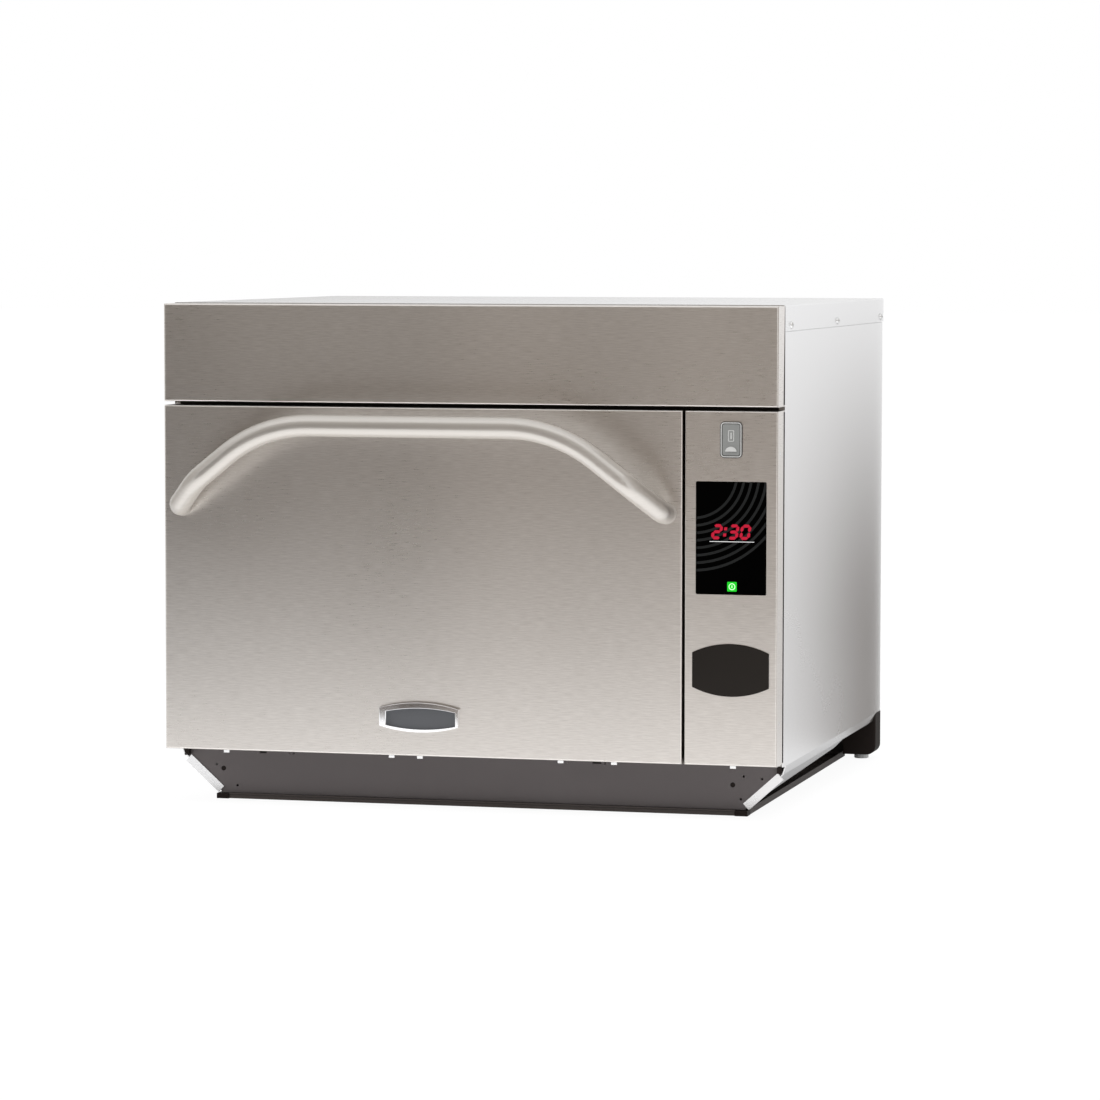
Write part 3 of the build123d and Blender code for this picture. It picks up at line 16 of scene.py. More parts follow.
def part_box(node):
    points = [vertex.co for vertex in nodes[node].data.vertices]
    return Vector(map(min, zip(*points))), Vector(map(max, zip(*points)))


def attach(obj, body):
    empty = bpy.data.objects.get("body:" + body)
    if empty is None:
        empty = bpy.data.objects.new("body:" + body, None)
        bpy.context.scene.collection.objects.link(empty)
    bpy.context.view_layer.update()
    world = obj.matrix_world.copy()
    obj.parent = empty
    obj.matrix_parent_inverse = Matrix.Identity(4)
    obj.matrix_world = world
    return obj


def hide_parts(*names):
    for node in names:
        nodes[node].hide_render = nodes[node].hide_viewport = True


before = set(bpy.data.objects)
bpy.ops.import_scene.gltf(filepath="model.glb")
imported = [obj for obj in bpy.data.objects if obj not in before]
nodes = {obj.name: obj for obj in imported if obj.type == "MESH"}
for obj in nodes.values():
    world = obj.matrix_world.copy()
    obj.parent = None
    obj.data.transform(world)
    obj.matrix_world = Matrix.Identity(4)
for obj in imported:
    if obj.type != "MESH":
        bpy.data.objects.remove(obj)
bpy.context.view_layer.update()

# %% [markdown]
# ## The camera
#
# The photograph was taken from the front right and a little above, with a long lens, so the upright edges stay
# almost parallel. A camera can be set by eye, but here its place, turn and focal length were worked out from the
# edges of the cabinet, whose sizes are known, so that each corner falls where it does in the photograph.

# %% Camera
IMAGE_SIDE = 1100
FOCAL_PIXELS = 4330.8
SENSOR = 36.0
CAMERA_PLACE = (1.1669, -4.4451, 0.5748)
CAMERA_YAW = 14.494
CAMERA_PITCH = 4.078
CAMERA_ROLL = 0.061

camera_data = bpy.data.cameras.new("camera")
camera_data.sensor_width = SENSOR
camera_data.lens = SENSOR * FOCAL_PIXELS / IMAGE_SIDE
camera = bpy.data.objects.new("camera", camera_data)
turn = Matrix.Rotation(math.radians(CAMERA_YAW), 4, "Z")
tilt = Matrix.Rotation(math.radians(90 - CAMERA_PITCH), 4, "X")
roll = Matrix.Rotation(math.radians(CAMERA_ROLL), 4, "Z")
camera.matrix_world = Matrix.Translation(CAMERA_PLACE) @ turn @ tilt @ roll
bpy.context.scene.collection.objects.link(camera)
bpy.context.scene.camera = camera
bpy.context.scene.view_settings.view_transform = "Standard"
print("lens", round(camera_data.lens, 1), "mm")

# %% [markdown]
# ## Colours and nodes
#
# Colours are written as the hex values that a screen shows, and one function turns them into the linear values
# that the renderer adds up. Small functions add a node, set it and link it in one line, which keeps each material
# short enough to read as a recipe.

# %% Colour and node helpers
def linear(hex_colour):
    """The linear RGBA value of an sRGB hex colour."""
    parts = [int(hex_colour[i:i + 2], 16) / 255 for i in (1, 3, 5)]
    return tuple(c / 12.92 if c <= 0.04045 else ((c + 0.055) / 1.055) ** 2.4 for c in parts) + (1.0,)


def add(tree, kind, settings=None, **inputs):
    """Adds a node, with its settings, and values or links for its inputs by name (spaces as _) or number (i0)."""
    node = tree.nodes.new(kind)
    for name, value in (settings or {}).items():
        setattr(node, name, value)
    for name, value in inputs.items():
        numbered = name[0] == "i" and name[1:].isdigit()
        socket = node.inputs[int(name[1:]) if numbered else name.replace("_", " ")]
        if isinstance(value, bpy.types.NodeSocket):
            tree.links.new(value, socket)
        else:
            socket.default_value = value
    return node


def compute(tree, operation, *values):
    """One step of arithmetic on numbers or links."""
    inputs = {f"i{number}": value for number, value in enumerate(values)}
    return add(tree, "ShaderNodeMath", {"operation": operation}, **inputs).outputs[0]


def mix_numbers(tree, share, first, second):
    """A number that goes from the first to the second as the share goes from 0 to 1."""
    return add(tree, "ShaderNodeMix", {"data_type": "FLOAT"}, i0=share, i2=first, i3=second).outputs[0]


def mix_colours(tree, share, first, second):
    """A colour that goes from the first to the second as the share goes from 0 to 1."""
    return add(tree, "ShaderNodeMix", {"data_type": "RGBA"}, i0=share, i6=first, i7=second).outputs[2]


def remap(tree, value, low, high, start=0.0, end=1.0, smooth=False):
    """A number that goes from low to high as the value goes from start to end."""
    settings = {"interpolation_type": "SMOOTHSTEP" if smooth else "LINEAR"}
    return add(tree, "ShaderNodeMapRange", settings, Value=value, From_Min=start, From_Max=end, To_Min=low,
               To_Max=high).outputs[0]


def own_place(tree):
    """Where a point lies in its object's own axes, in metres."""
    return add(tree, "ShaderNodeTexCoord").outputs["Object"]


def split(tree, vector):
    """The X, Y and Z of a vector."""
    return add(tree, "ShaderNodeSeparateXYZ", None, Vector=vector).outputs


def new_material(name):
    """An empty node material and its tree."""
    material = bpy.data.materials.new(name)
    material.use_nodes = True
    material.node_tree.nodes.clear()
    return material, material.node_tree


def finish_material(tree, shader):
    """Links a shader to the material's output."""
    add(tree, "ShaderNodeOutputMaterial", Surface=shader.outputs[0])


# %% [markdown]
# ## The studio
#
# Steel has no colour of its own worth speaking of: it shows what stands round it. The photographer used a white
# sweep under the oven, which fades into a dark room behind the camera. That is why the door is pale at its foot,
# where it mirrors the floor close by, and dark at its top, where it mirrors the room. The same is built here: a
# white floor, a white world, and five cards and a soft box that only reflections see. The background is made white
# by what camera rays are shown, and not by more light on the oven.
#
# The floor has one strength for the camera and three for reflections: bright before the oven, plainer at its sides,
# so that they don't burn out, and dim beneath it, where the oven shades the paper.

# %% World and floor
LIGHT_LEVEL = 0.72          # what the world gives as light, against 1 for what is seen of it
SHOWN_FLOOR = 1.06
FRONT_FLOOR = 1.6
SIDE_FLOOR = 0.95
SHADED_FLOOR = 0.45
GLOW_SHARE = 0.88           # the rest of the floor is plain paper, which takes the oven's shadow
SHADE_EDGE = (0.32, 0.38)   # how far from the oven's middle the shade fades out, in metres
FRONT_EDGE = (0.55, 0.85)   # the same for the bright paper
SHADE_START = -0.27         # the shade begins below the oven's face
FLOOR_SIZE = (60, 60)


def seen_directly(tree):
    """The kinds of ray, and 1 for those from the camera, mirrors and glass, but 0 for light on the oven."""
    rays = add(tree, "ShaderNodeLightPath").outputs
    seen = compute(tree, "MAXIMUM", rays["Is Camera Ray"], rays["Is Glossy Ray"])
    return rays, compute(tree, "MAXIMUM", seen, rays["Is Transmission Ray"])


def stage_plane(name, size, matrix):
    """A flat stage piece, centred on its matrix and facing along its Z."""
    mesh = bpy.data.meshes.new(name)
    half_x, half_y = size[0] / 2, size[1] / 2
    corners = [(-half_x, -half_y, 0), (half_x, -half_y, 0), (half_x, half_y, 0), (-half_x, half_y, 0)]
    mesh.from_pydata(corners, [], [(0, 1, 2, 3)])
    plane = bpy.data.objects.new(name, mesh)
    plane.matrix_world = matrix
    bpy.context.scene.collection.objects.link(plane)
    return plane


world = bpy.data.worlds.new("studio")
bpy.context.scene.world = world
world.use_nodes = True
sky = world.node_tree
sky.nodes.clear()
_, seen = seen_directly(sky)
background = add(sky, "ShaderNodeBackground", None, Color=linear("#ffffff"),
                 Strength=remap(sky, seen, LIGHT_LEVEL, 1.0))
add(sky, "ShaderNodeOutputWorld", None, Surface=background.outputs[0])

floor_material, tree = new_material("white_sweep")
rays, seen = seen_directly(tree)
paper = add(tree, "ShaderNodeBsdfDiffuse", None, Color=linear("#f4f4f4"))
x, y, _ = split(tree, own_place(tree))
off_middle = compute(tree, "ABSOLUTE", x)
beneath = remap(tree, off_middle, SHADED_FLOOR, SIDE_FLOOR, *SHADE_EDGE, smooth=True)
ahead = remap(tree, off_middle, FRONT_FLOOR, SIDE_FLOOR, *FRONT_EDGE, smooth=True)
mirrored = mix_numbers(tree, compute(tree, "GREATER_THAN", y, SHADE_START), ahead, beneath)
shine = mix_numbers(tree, rays["Is Glossy Ray"], SHOWN_FLOOR, mirrored)
glow = add(tree, "ShaderNodeEmission", None, Color=linear("#ffffff"), Strength=shine)
finish_material(tree, add(tree, "ShaderNodeMixShader", None, Fac=compute(tree, "MULTIPLY", seen, GLOW_SHARE),
                          i1=paper.outputs[0], i2=glow.outputs[0]))
floor = stage_plane("floor", FLOOR_SIZE, Matrix.Identity(4))
floor.data.materials.append(floor_material)
print("world and floor ready")

# %% [markdown]
# The cards are like the flags that a photographer stands round a shiny thing. The front one stands on the floor,
# 0.8 m before the door, so the door's foot still mirrors white paper. It is darker to the left, as the fascia is,
# and has soft folds, so its reflection is uneven. A narrow card behind the right side fades out upwards and shades
# that panel, one behind the oven shades the top cover, and one at each side keeps the sides from turning white. The
# soft box overhead draws the bright line along the handle.

# %% Cards and soft box
FOLDS_PER_METRE = 14.0
NOISE_SPAN = (0.3, 0.7)     # where nearly all values of a noise lie
SOFT_BOX_SIZE = (3.0, 1.6)
SOFT_BOX_PLACE = (0, -1.5, 1.9)
SOFT_BOX_GLOW = 1.35


def only_reflected(card, material):
    """Hides a card from everything but reflections."""
    card.data.materials.append(material)
    card.visible_camera = False
    card.visible_diffuse = False
    card.visible_shadow = False
    card.visible_transmission = False
    return card


def reflected_card(name, size, foot, dark, pale, fade, above="#ffffff", turn=0, folds=0.0):
    """An upright card: dark to pale from left to right, fading between two heights into the colour above."""
    material, tree = new_material(name)
    x, y, _ = split(tree, own_place(tree))
    across = remap(tree, x, 0, 1, -size[0] / 2, size[0] / 2, smooth=True)
    up = remap(tree, y, 0, 1, fade[0] - size[1] / 2, fade[1] - size[1] / 2, smooth=True)
    colour = mix_colours(tree, across, linear(dark), linear(pale))
    colour = mix_colours(tree, up, colour, linear(above))
    cloth = add(tree, "ShaderNodeTexNoise", {"noise_dimensions": "1D"}, W=x, Scale=FOLDS_PER_METRE, Detail=1.0)
    cloth = remap(tree, cloth.outputs[0], 1 - folds, 1 + folds, *NOISE_SPAN)
    finish_material(tree, add(tree, "ShaderNodeEmission", None, Color=colour, Strength=cloth))
    middle = Matrix.Translation((foot[0], foot[1], foot[2] + size[1] / 2))
    upright = Matrix.Rotation(math.radians(turn), 4, "Z") @ Matrix.Rotation(math.radians(90), 4, "X")
    return only_reflected(stage_plane(name, size, middle @ upright), material)


reflected_card("card_front", (1.4, 1.20), (-0.26, -1.09, 0.0), "#2a1f17", "#a1978e", (0.46, 0.62), above="#a8a29b",
               folds=0.35)
reflected_card("card_side", (0.17, 0.80), (0.415, 0.36, 0.0), "#8f8b88", "#efeeed", (0.12, 0.64))
reflected_card("card_back", (2.0, 0.60), (-0.60, 1.30, 0.52), "#aeaba8", "#f6f6f5", (0.45, 0.60))
reflected_card("card_left", (1.6, 1.30), (-1.65, -0.45, 0.0), "#b4afa9", "#c4c0bb", (1.05, 1.30), turn=90)
reflected_card("card_right", (2.4, 3.00), (1.70, -0.50, 0.0), "#b2aba4", "#b2aba4", (2.80, 3.00), turn=90)

box_material, tree = new_material("soft_box_cloth")
finish_material(tree, add(tree, "ShaderNodeEmission", None, Color=linear("#ffffff"), Strength=SOFT_BOX_GLOW))
only_reflected(stage_plane("soft_box_overhead", SOFT_BOX_SIZE, Matrix.Translation(SOFT_BOX_PLACE)), box_material)
print("five cards and a soft box")

# %% [markdown]
# Two lamps give the soft shadows. They are kept out of reflections, where they would show as bare squares.

# %% Lamps
OVEN_MIDDLE = (0, 0, 0.25)


def soft_lamp(name, place, target, size, power):
    """A square area lamp that points at a target, with its side in metres and its power in watts."""
    lamp = bpy.data.lights.new(name, "AREA")
    lamp.shape = "SQUARE"
    lamp.size = size
    lamp.energy = power
    holder = bpy.data.objects.new(name, lamp)
    aim = Vector(target) - Vector(place)
    holder.matrix_world = Matrix.Translation(place) @ aim.to_track_quat("-Z", "Y").to_matrix().to_4x4()
    bpy.context.scene.collection.objects.link(holder)
    holder.visible_glossy = False
    print(name, power, "W")


soft_lamp("lamp_top", (0.6, -0.8, 2.6), OVEN_MIDDLE, 1.6, 22)
soft_lamp("lamp_left", (-2.6, -1.6, 1.6), OVEN_MIDDLE, 1.4, 16)

# %% [markdown]
# ## Brushed stainless steel
#
# The skins are 1.2 mm austenitic sheet, brushed along the roll with a belt of about 180 grit. The scratches lie
# level, so the surface is rough across them and smooth along them: highlights smear upwards and stay narrow
# sideways. The grain is some 0.1 mm wide in life, which is a tenth of a pixel here, so it is drawn 0.9 mm wide
# and 14 mm long to show at all. Each face gets the level direction that lies in it, in the object's own axes, so
# the grain stays with the door when it opens.

# %% Brushed steel
GRAIN_WIDTH = 0.0009
GRAIN_LENGTH = 0.014
CLOUD_SIZE = 0.25           # soft patches left by handling, in metres
CLOUD_ROUGHNESS = 0.06
GRAIN_ROUGHNESS = 0.03
SCRATCH_RELIEF = 0.03
SCRATCH_DEPTH = 0.0004
QUARTER_TURN = 0.25         # turns the highlight from along the tangent to across it
FACES_AXIS = 0.7            # a normal with more of an axis than this faces along it
FACES_DOWN = -0.95
# The near-black colour of painted shade on faces that look down
UNDERSIDE_SHADE = "#2e2b29"


def level_grain(tree):
    """Noise drawn out along the level direction of each face, that direction, and how far the face looks up."""
    own = add(tree, "ShaderNodeTexCoord").outputs
    x, y, z = split(tree, own["Object"])
    sideward, _, upward = split(tree, own["Normal"])
    lying = compute(tree, "GREATER_THAN", compute(tree, "ABSOLUTE", upward), FACES_AXIS)
    sideways = compute(tree, "GREATER_THAN", compute(tree, "ABSOLUTE", sideward), FACES_AXIS)
    stretched = add(tree, "ShaderNodeCombineXYZ", None, X=mix_numbers(tree, sideways, x, y),
                    Y=mix_numbers(tree, lying, z, y))
    scaled = add(tree, "ShaderNodeVectorMath", {"operation": "DIVIDE"}, i0=stretched.outputs[0],
                 i1=(GRAIN_LENGTH, GRAIN_WIDTH, 1))
    noise = add(tree, "ShaderNodeTexNoise", {"noise_dimensions": "2D"}, Vector=scaled.outputs[0], Scale=1.0,
                Detail=3.0, Roughness=0.65)
    level = add(tree, "ShaderNodeMix", {"data_type": "VECTOR"}, i0=sideways, i4=(1, 0, 0), i5=(0, 1, 0))
    to_world = {"vector_type": "VECTOR", "convert_from": "OBJECT", "convert_to": "WORLD"}
    level = add(tree, "ShaderNodeVectorTransform", to_world, Vector=level.outputs[1])
    return noise.outputs[0], level.outputs[0], upward


def brushed_steel(name, colour, roughness=0.26, anisotropy=0.8, grain=1.0):
    """Sheet steel with a level brushed grain, and painted shade, near black, on the faces that look down."""
    material, tree = new_material(name)
    noise, level, upward = level_grain(tree)
    cloud = add(tree, "ShaderNodeTexNoise", None, Vector=own_place(tree), Scale=1 / CLOUD_SIZE, Detail=2.0)
    tint = mix_colours(tree, noise, linear(colour[0]), linear(colour[1]))
    # Faces that look down are painted near black: painted shade under the sheets' lower edges and lips.
    tint = mix_colours(tree, compute(tree, "LESS_THAN", upward, FACES_DOWN), tint, linear(UNDERSIDE_SHADE))
    swing = GRAIN_ROUGHNESS * grain
    rough = remap(tree, noise, roughness - swing, roughness + swing)
    rough = compute(tree, "MULTIPLY_ADD", cloud.outputs[0], CLOUD_ROUGHNESS, rough)
    bump = add(tree, "ShaderNodeBump", None, Strength=SCRATCH_RELIEF * grain, Distance=SCRATCH_DEPTH, Height=noise)
    steel = add(tree, "ShaderNodeBsdfPrincipled", None, Base_Color=tint, Metallic=1.0, Roughness=rough,
                Normal=bump.outputs[0], Anisotropic=anisotropy, Anisotropic_Rotation=QUARTER_TURN, Tangent=level)
    finish_material(tree, steel)
    return material


def dress(material, *names):
    """Gives CAD nodes a material, in place of the plain one that they came with."""
    for name in names:
        mesh = nodes[name].data
        mesh.materials.clear()
        mesh.materials.append(material)


skin_steel = brushed_steel("stainless_steel_brushed", ("#cac5c0", "#efebe7"))
side_steel = brushed_steel("stainless_steel_brushed_side", ("#e4e4e5", "#f0f0f1"), roughness=0.24, anisotropy=0.65,
                           grain=0.15)
dress(skin_steel, "fascia", "control_panel", "door_skin")
dress(side_steel, "side_panel_left", "side_panel_right", "top_cover")
print("skins in", skin_steel.name, "and", side_steel.name)

# %% [markdown]
# ## Other metals
#
# The handle is a bent tube with a satin polish, finer than the sheet. Most of its surface is scratched and spreads
# the light, and the ground between the scratches mirrors the rest, so a sharp line lies in a soft glow. Two shaders
# are mixed for that. The frame and the cavity are mill-finish steel, but the frame's front is blackened as painted
# shade in the gaps round the door. The fan and the waveguides are bright metal, and the badge frame is chromed
# zinc.

# %% Plain metals
POLISH_PATCH = (0.02, 0.02, 0.02)    # patches of uneven polish, in metres
TUBE_SCRATCH = (0.08, 0.004, 0.004)  # the same on the tube, drawn out along it


def patches(tree, size):
    """Noise in soft patches of the given size."""
    scaled = add(tree, "ShaderNodeVectorMath", {"operation": "DIVIDE"}, i0=own_place(tree), i1=size)
    return add(tree, "ShaderNodeTexNoise", None, Vector=scaled.outputs[0], Scale=1.0, Detail=4.0).outputs[0]


def plain_metal(name, colour, roughness, spread=0.05):
    """A metal whose polish varies softly, in patches."""
    material, tree = new_material(name)
    noise = patches(tree, POLISH_PATCH)
    finish_material(tree, add(tree, "ShaderNodeBsdfPrincipled", None, Metallic=1.0,
                              Base_Color=mix_colours(tree, noise, linear(colour[0]), linear(colour[1])),
                              Roughness=remap(tree, noise, roughness - spread, roughness + spread)))
    return material


def satin_tube(name, colour, sharp, broad, share, spread=0.1):
    """A polish whose fine scratches spread a share of the light, over a ground that mirrors the rest."""
    material, tree = new_material(name)
    ground, scratches = [add(tree, "ShaderNodeBsdfPrincipled", None, Base_Color=linear(colour), Metallic=1.0,
                             Roughness=roughness) for roughness in (sharp, broad)]
    worn = remap(tree, patches(tree, TUBE_SCRATCH), share - spread, share + spread)
    finish_material(tree, add(tree, "ShaderNodeMixShader", None, Fac=worn, i1=ground.outputs[0],
                              i2=scratches.outputs[0]))
    return material


handle_steel = satin_tube("stainless_steel_satin", "#d4d0cb", sharp=0.13, broad=0.56, share=0.80)
mill_steel = plain_metal("stainless_steel_mill", ("#a9a7a4", "#bdbbb8"), 0.38)
cavity_steel = plain_metal("stainless_steel_cavity", ("#b9b6b1", "#cdcac5"), 0.30)
bright_steel = plain_metal("steel_zinc_plated", ("#dfe0e0", "#f0f0f0"), 0.22)
aluminium = plain_metal("aluminium_mill", ("#c4c5c7", "#d8d9da"), 0.34)
chrome = plain_metal("chromium_plate", ("#e6e6e8", "#f2f2f4"), 0.07, spread=0.02)
blackened_steel_and_gap_shade = plain_metal("steel_blackened_and_gap_shade", ("#3b3835", "#45413e"), 0.45)
alloy = plain_metal("heater_sheath_oxidised", ("#4c4844", "#5e5954"), 0.50)

dress(handle_steel, "handle", "handle_bolts")
dress(mill_steel, "back_panel", "chassis_floor", "door_tongues", "fan_plenum")
# The chassis front, seen through the gaps round the door and fascia, is blackened as painted shade in those gaps;
# the hinge springs are blackened steel.
dress(blackened_steel_and_gap_shade, "chassis_front", "hinge_springs")
dress(cavity_steel, "cavity_liner", "rear_baffle", "door_inner", "oven_rack")
dress(bright_steel, "skin_screws", "panel_screws", "front_clips", "convection_fan")
dress(aluminium, "waveguide_front", "waveguide_rear", "magnetron_front", "magnetron_rear", "stirrer")
dress(chrome, "badge_frame")
dress(alloy, "radiant_element", "ring_heater")
print(len(bpy.data.materials), "materials so far")

# %% [markdown]
# ## Paint, plastic, rubber, glass and ceramic
#
# What is not bare metal is dull or glossy in its own way: satin paint on the plinth, moulded feet with a spark-
# eroded texture, a soft rubber port cover, a glass screen, and a glazed floor in the cavity. Two noises give each
# its surface: a fine one for its grit, and a broad one that makes colour and gloss slightly uneven.

# %% Dielectric materials
MOTTLES_PER_METRE = 12.0
MOTTLE_ROUGHNESS = 0.04
GRIT_DEPTH = 0.0003


def coated(name, colour, roughness, grit=0.0006, bump=0.15, coat=0.0, gloss=0.5):
    """A paint, plastic, rubber or glaze with a fine surface texture, whose grit is given in metres."""
    material, tree = new_material(name)
    place = own_place(tree)
    fine = add(tree, "ShaderNodeTexNoise", None, Vector=place, Scale=1 / grit, Detail=2.0)
    broad = add(tree, "ShaderNodeTexNoise", None, Vector=place, Scale=MOTTLES_PER_METRE, Detail=3.0).outputs[0]
    tint = mix_colours(tree, broad, linear(colour[0]), linear(colour[1]))
    rough = remap(tree, broad, roughness - MOTTLE_ROUGHNESS, roughness + MOTTLE_ROUGHNESS)
    relief = add(tree, "ShaderNodeBump", None, Strength=bump, Distance=GRIT_DEPTH, Height=fine.outputs[0])
    finish_material(tree, add(tree, "ShaderNodeBsdfPrincipled", None, Base_Color=tint, Roughness=rough,
                              Normal=relief.outputs[0], Coat_Weight=coat, Specular_IOR_Level=gloss))
    return material


plinth_paint = coated("polyester_powder_coat", ("#686161", "#736c6c"), 0.45, grit=0.0009)
black_plastic = coated("polypropylene_moulded", ("#221b18", "#2a221f"), 0.50, gloss=0.15)
pan_paint = coated("polyester_powder_coat_dark", ("#4b4441", "#57504d"), 0.5, grit=0.0009, gloss=0.3)
label_film = coated("polyester_label_film", ("#1d1916", "#25201c"), 0.34, bump=0.03, gloss=0.2)
badge_paint = coated("badge_enamel", ("#56585c", "#606266"), 0.40, bump=0.05)
port_plastic = coated("polycarbonate_dark", ("#2b2a28", "#333230"), 0.45, gloss=0.3)
port_rubber = coated("silicone_rubber_grey", ("#878886", "#919290"), 0.55)
seal_rubber = coated("silicone_rubber_black", ("#1c1b1b", "#262525"), 0.55)
touch_glass = coated("touch_glass", ("#010101", "#020202"), 0.10, bump=0.0, gloss=0.02)
ceramic = coated("glazed_ceramic", ("#cfccc4", "#dad7d0"), 0.25, bump=0.05, coat=0.4)
mica = coated("mica_sheet", ("#b8ad90", "#c8bea2"), 0.35)
wool = coated("mineral_wool", ("#cfcbbd", "#dedacd"), 0.90, grit=0.002, bump=0.6)
motor_paint = coated("motor_lacquer", ("#55565a", "#616266"), 0.45)
circuit_board = coated("solder_mask", ("#17402a", "#1d4c33"), 0.35)

dress(plinth_paint, "base_front", "hinge_bracket_left", "hinge_bracket_right", "hinge_leaves")
dress(pan_paint, "base_pan")
dress(black_plastic, "front_feet", "rear_foot_left", "rear_foot_right", "corner_brackets", "inlet_gland",
      "switch_block_left", "switch_block_right", "display_module", "cooling_fan", "cooling_fan_frame")
dress(label_film, "panel_plate")
dress(badge_paint, "badge_plate")
dress(port_plastic, "port_housing")
dress(port_rubber, "port_cover")
dress(seal_rubber, "door_seal")
dress(touch_glass, "touch_screen")
dress(ceramic, "ceramic_floor")
dress(mica, "feed_covers")
dress(wool, "insulation")
dress(motor_paint, "stirrer_motor", "convection_motor", "capacitors", "transformer_front", "transformer_rear")
dress(circuit_board, "control_board")
print(len([n for n in nodes.values() if n.data.materials]), "nodes dressed")

# %% [markdown]
# ## A helper for new pieces
#
# Small parts are built as meshes in code, at their real place. Each one is named, takes a finish, and rides on the
# body that carries it, so that it moves when the door or the port cover does.

# %% Make a piece
MM = 0.001
DOOR_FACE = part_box("door_skin")[0].y


def piece(name, shape, material, body, stands_for=(), smooth=None):
    """A named object from a bmesh, in its place, riding on a body."""
    bmesh.ops.recalc_face_normals(shape, faces=shape.faces)
    mesh = bpy.data.meshes.new(name)
    shape.to_mesh(mesh)
    shape.free()
    mesh.materials.append(material)
    thing = bpy.data.objects.new(name, mesh)
    bpy.context.scene.collection.objects.link(thing)
    if smooth is not None:
        mesh.shade_smooth()
        mesh.set_sharp_from_angle(angle=math.radians(smooth))
    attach(thing, body)
    if stands_for:
        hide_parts(*stands_for)
    print(name, len(mesh.vertices), "vertices")
    return thing


def loft(shape, rings, closed=False):
    """Skins the space between rings that have the same number of points."""
    rows = [[shape.verts.new(point) for point in ring] for ring in rings]
    pairs = list(zip(rows, rows[1:])) + ([(rows[-1], rows[0])] if closed else [])
    for low, high in pairs:
        for i in range(len(low)):
            j = (i + 1) % len(low)
            shape.faces.new((low[i], low[j], high[j], high[i]))
    return rows


def slab(shape, outline, front, back):
    """A flat plate with an outline of (x, z) places, between two depths."""
    rows = loft(shape, [[(x, front, z) for x, z in outline], [(x, back, z) for x, z in outline]])
    for row in rows:
        shape.faces.new(row)


def flat_ring(shape, outer, inner, front, back):
    """A flat ring between two outlines that have the same number of points."""
    loft(shape, [[(x, front, z) for x, z in outer], [(x, front, z) for x, z in inner],
                 [(x, back, z) for x, z in inner], [(x, back, z) for x, z in outer]], closed=True)


def circle(middle, radius, points=40, turn=2 * math.pi):
    """Points of a circle, or of as much of it as the turn covers."""
    return [(middle[0] + radius * math.cos(turn * i / points), middle[1] + radius * math.sin(turn * i / points))
            for i in range(points)]


# %% [markdown]
# ## Screws
#
# The skins are held by twelve pan-head screws with cross recesses. A cut made with a boolean leaves ragged faces
# on so small a head, so the head is built from rings of points, and two of its spokes follow each slot's edges.

# %% Skin screws
SLOT_HALF_WIDTH = 0.45 * MM
SLOT_REACH = 2.1 * MM
SLOT_DEPTH = 1.1 * MM
# The head's rings, each with its radius and height in millimetres, from the middle out and down.
HEAD_RINGS = ((0.62, 2.0), (1.2, 1.98), (2.1, 1.93), (2.15, 1.92), (2.8, 1.8), (3.4, 1.55), (3.8, 1.2), (4.0, 0.7),
              (4.0, 0.0))
SLOT_ANGLE_LIMIT = 0.72
SLOT_WALL = 0.03            # the slot's wall leans by this angle, in radians
SPOKE_ANGLE = 0.62
half_width = -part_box("fascia")[0].x
back_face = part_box("side_panel_right")[1].y
COVER_SCREW_LEVEL = 492 * MM
COVER_SCREW_DEPTHS = (64 * MM, 310 * MM, 566 * MM)
BACK_SCREW_LEVELS = (108 * MM, 271.4 * MM, 426 * MM)
BACK_SCREW_INSET = 7.5 * MM


def screw_head(shape, matrix):
    """One cross-recessed pan head, standing on the matrix's origin along its Z."""
    rings = []
    for ring, level in HEAD_RINGS:
        radius = ring * MM
        edge = math.asin(min(SLOT_ANGLE_LIMIT, SLOT_HALF_WIDTH / radius))
        wall = edge + SLOT_WALL
        uncut = [max(angle, wall) for angle in (wall, SPOKE_ANGLE, math.pi / 4, math.pi / 2 - SPOKE_ANGLE,
                                                math.pi / 2 - wall)]
        floor_level = level * MM - (SLOT_DEPTH if radius <= SLOT_REACH else 0)
        quarter_ring = [(-edge, floor_level), (edge, floor_level)] + [(angle, level * MM) for angle in uncut]
        rings.append([matrix @ Vector((radius * math.cos(quarter * math.pi / 2 + angle),
                                       radius * math.sin(quarter * math.pi / 2 + angle), height))
                      for quarter in range(4) for angle, height in quarter_ring])
    rows = loft(shape, rings)
    shape.faces.new(rows[0])
    shape.faces.new(rows[-1])


screws = bmesh.new()
for side in (-1, 1):
    for depth in COVER_SCREW_DEPTHS:
        place = Matrix.Translation((side * half_width, DOOR_FACE + depth, COVER_SCREW_LEVEL))
        screw_head(screws, place @ Matrix.Rotation(side * math.pi / 2, 4, "Y"))
    for level in BACK_SCREW_LEVELS:
        place = Matrix.Translation((side * (half_width - BACK_SCREW_INSET), back_face, level))
        screw_head(screws, place @ Matrix.Rotation(-math.pi / 2, 4, "X"))
piece("skin_screw_heads", screws, bright_steel, "cabinet", ["skin_screws"], smooth=35)

# %% [markdown]
# ## The badge frame
#
# The frame on the door is die-cast, chromed, and rounded over, which is why its rim flashes white along one side
# and stays dark along the other. The CAD ring is flat, so it is replaced: an arched outline is drawn for its outer
# edge and one for the edge of its hole, and rings between the two, higher or lower each time, are skinned.

# %% Badge frame
badge_low, badge_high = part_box("badge_frame")
hole_low, hole_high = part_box("badge_plate")
PLATE_GAP = 0.05 * MM
BADGE_STRAIGHT, HOLE_STRAIGHT = 18.4 * MM, 13.9 * MM
# The steps from the outer edge to the hole, each with its share of the way and its height in millimetres.
BADGE_STEPS = ((0.0, 0.0), (0.0, 4.0), (0.03, 4.5), (0.08, 4.9), (0.12, 5.0), (0.14, 5.0), (0.92, 5.0), (0.94, 5.0),
               (0.98, 4.9), (1.0, 4.6), (1.0, 0.0))
ARC_POINTS = 24


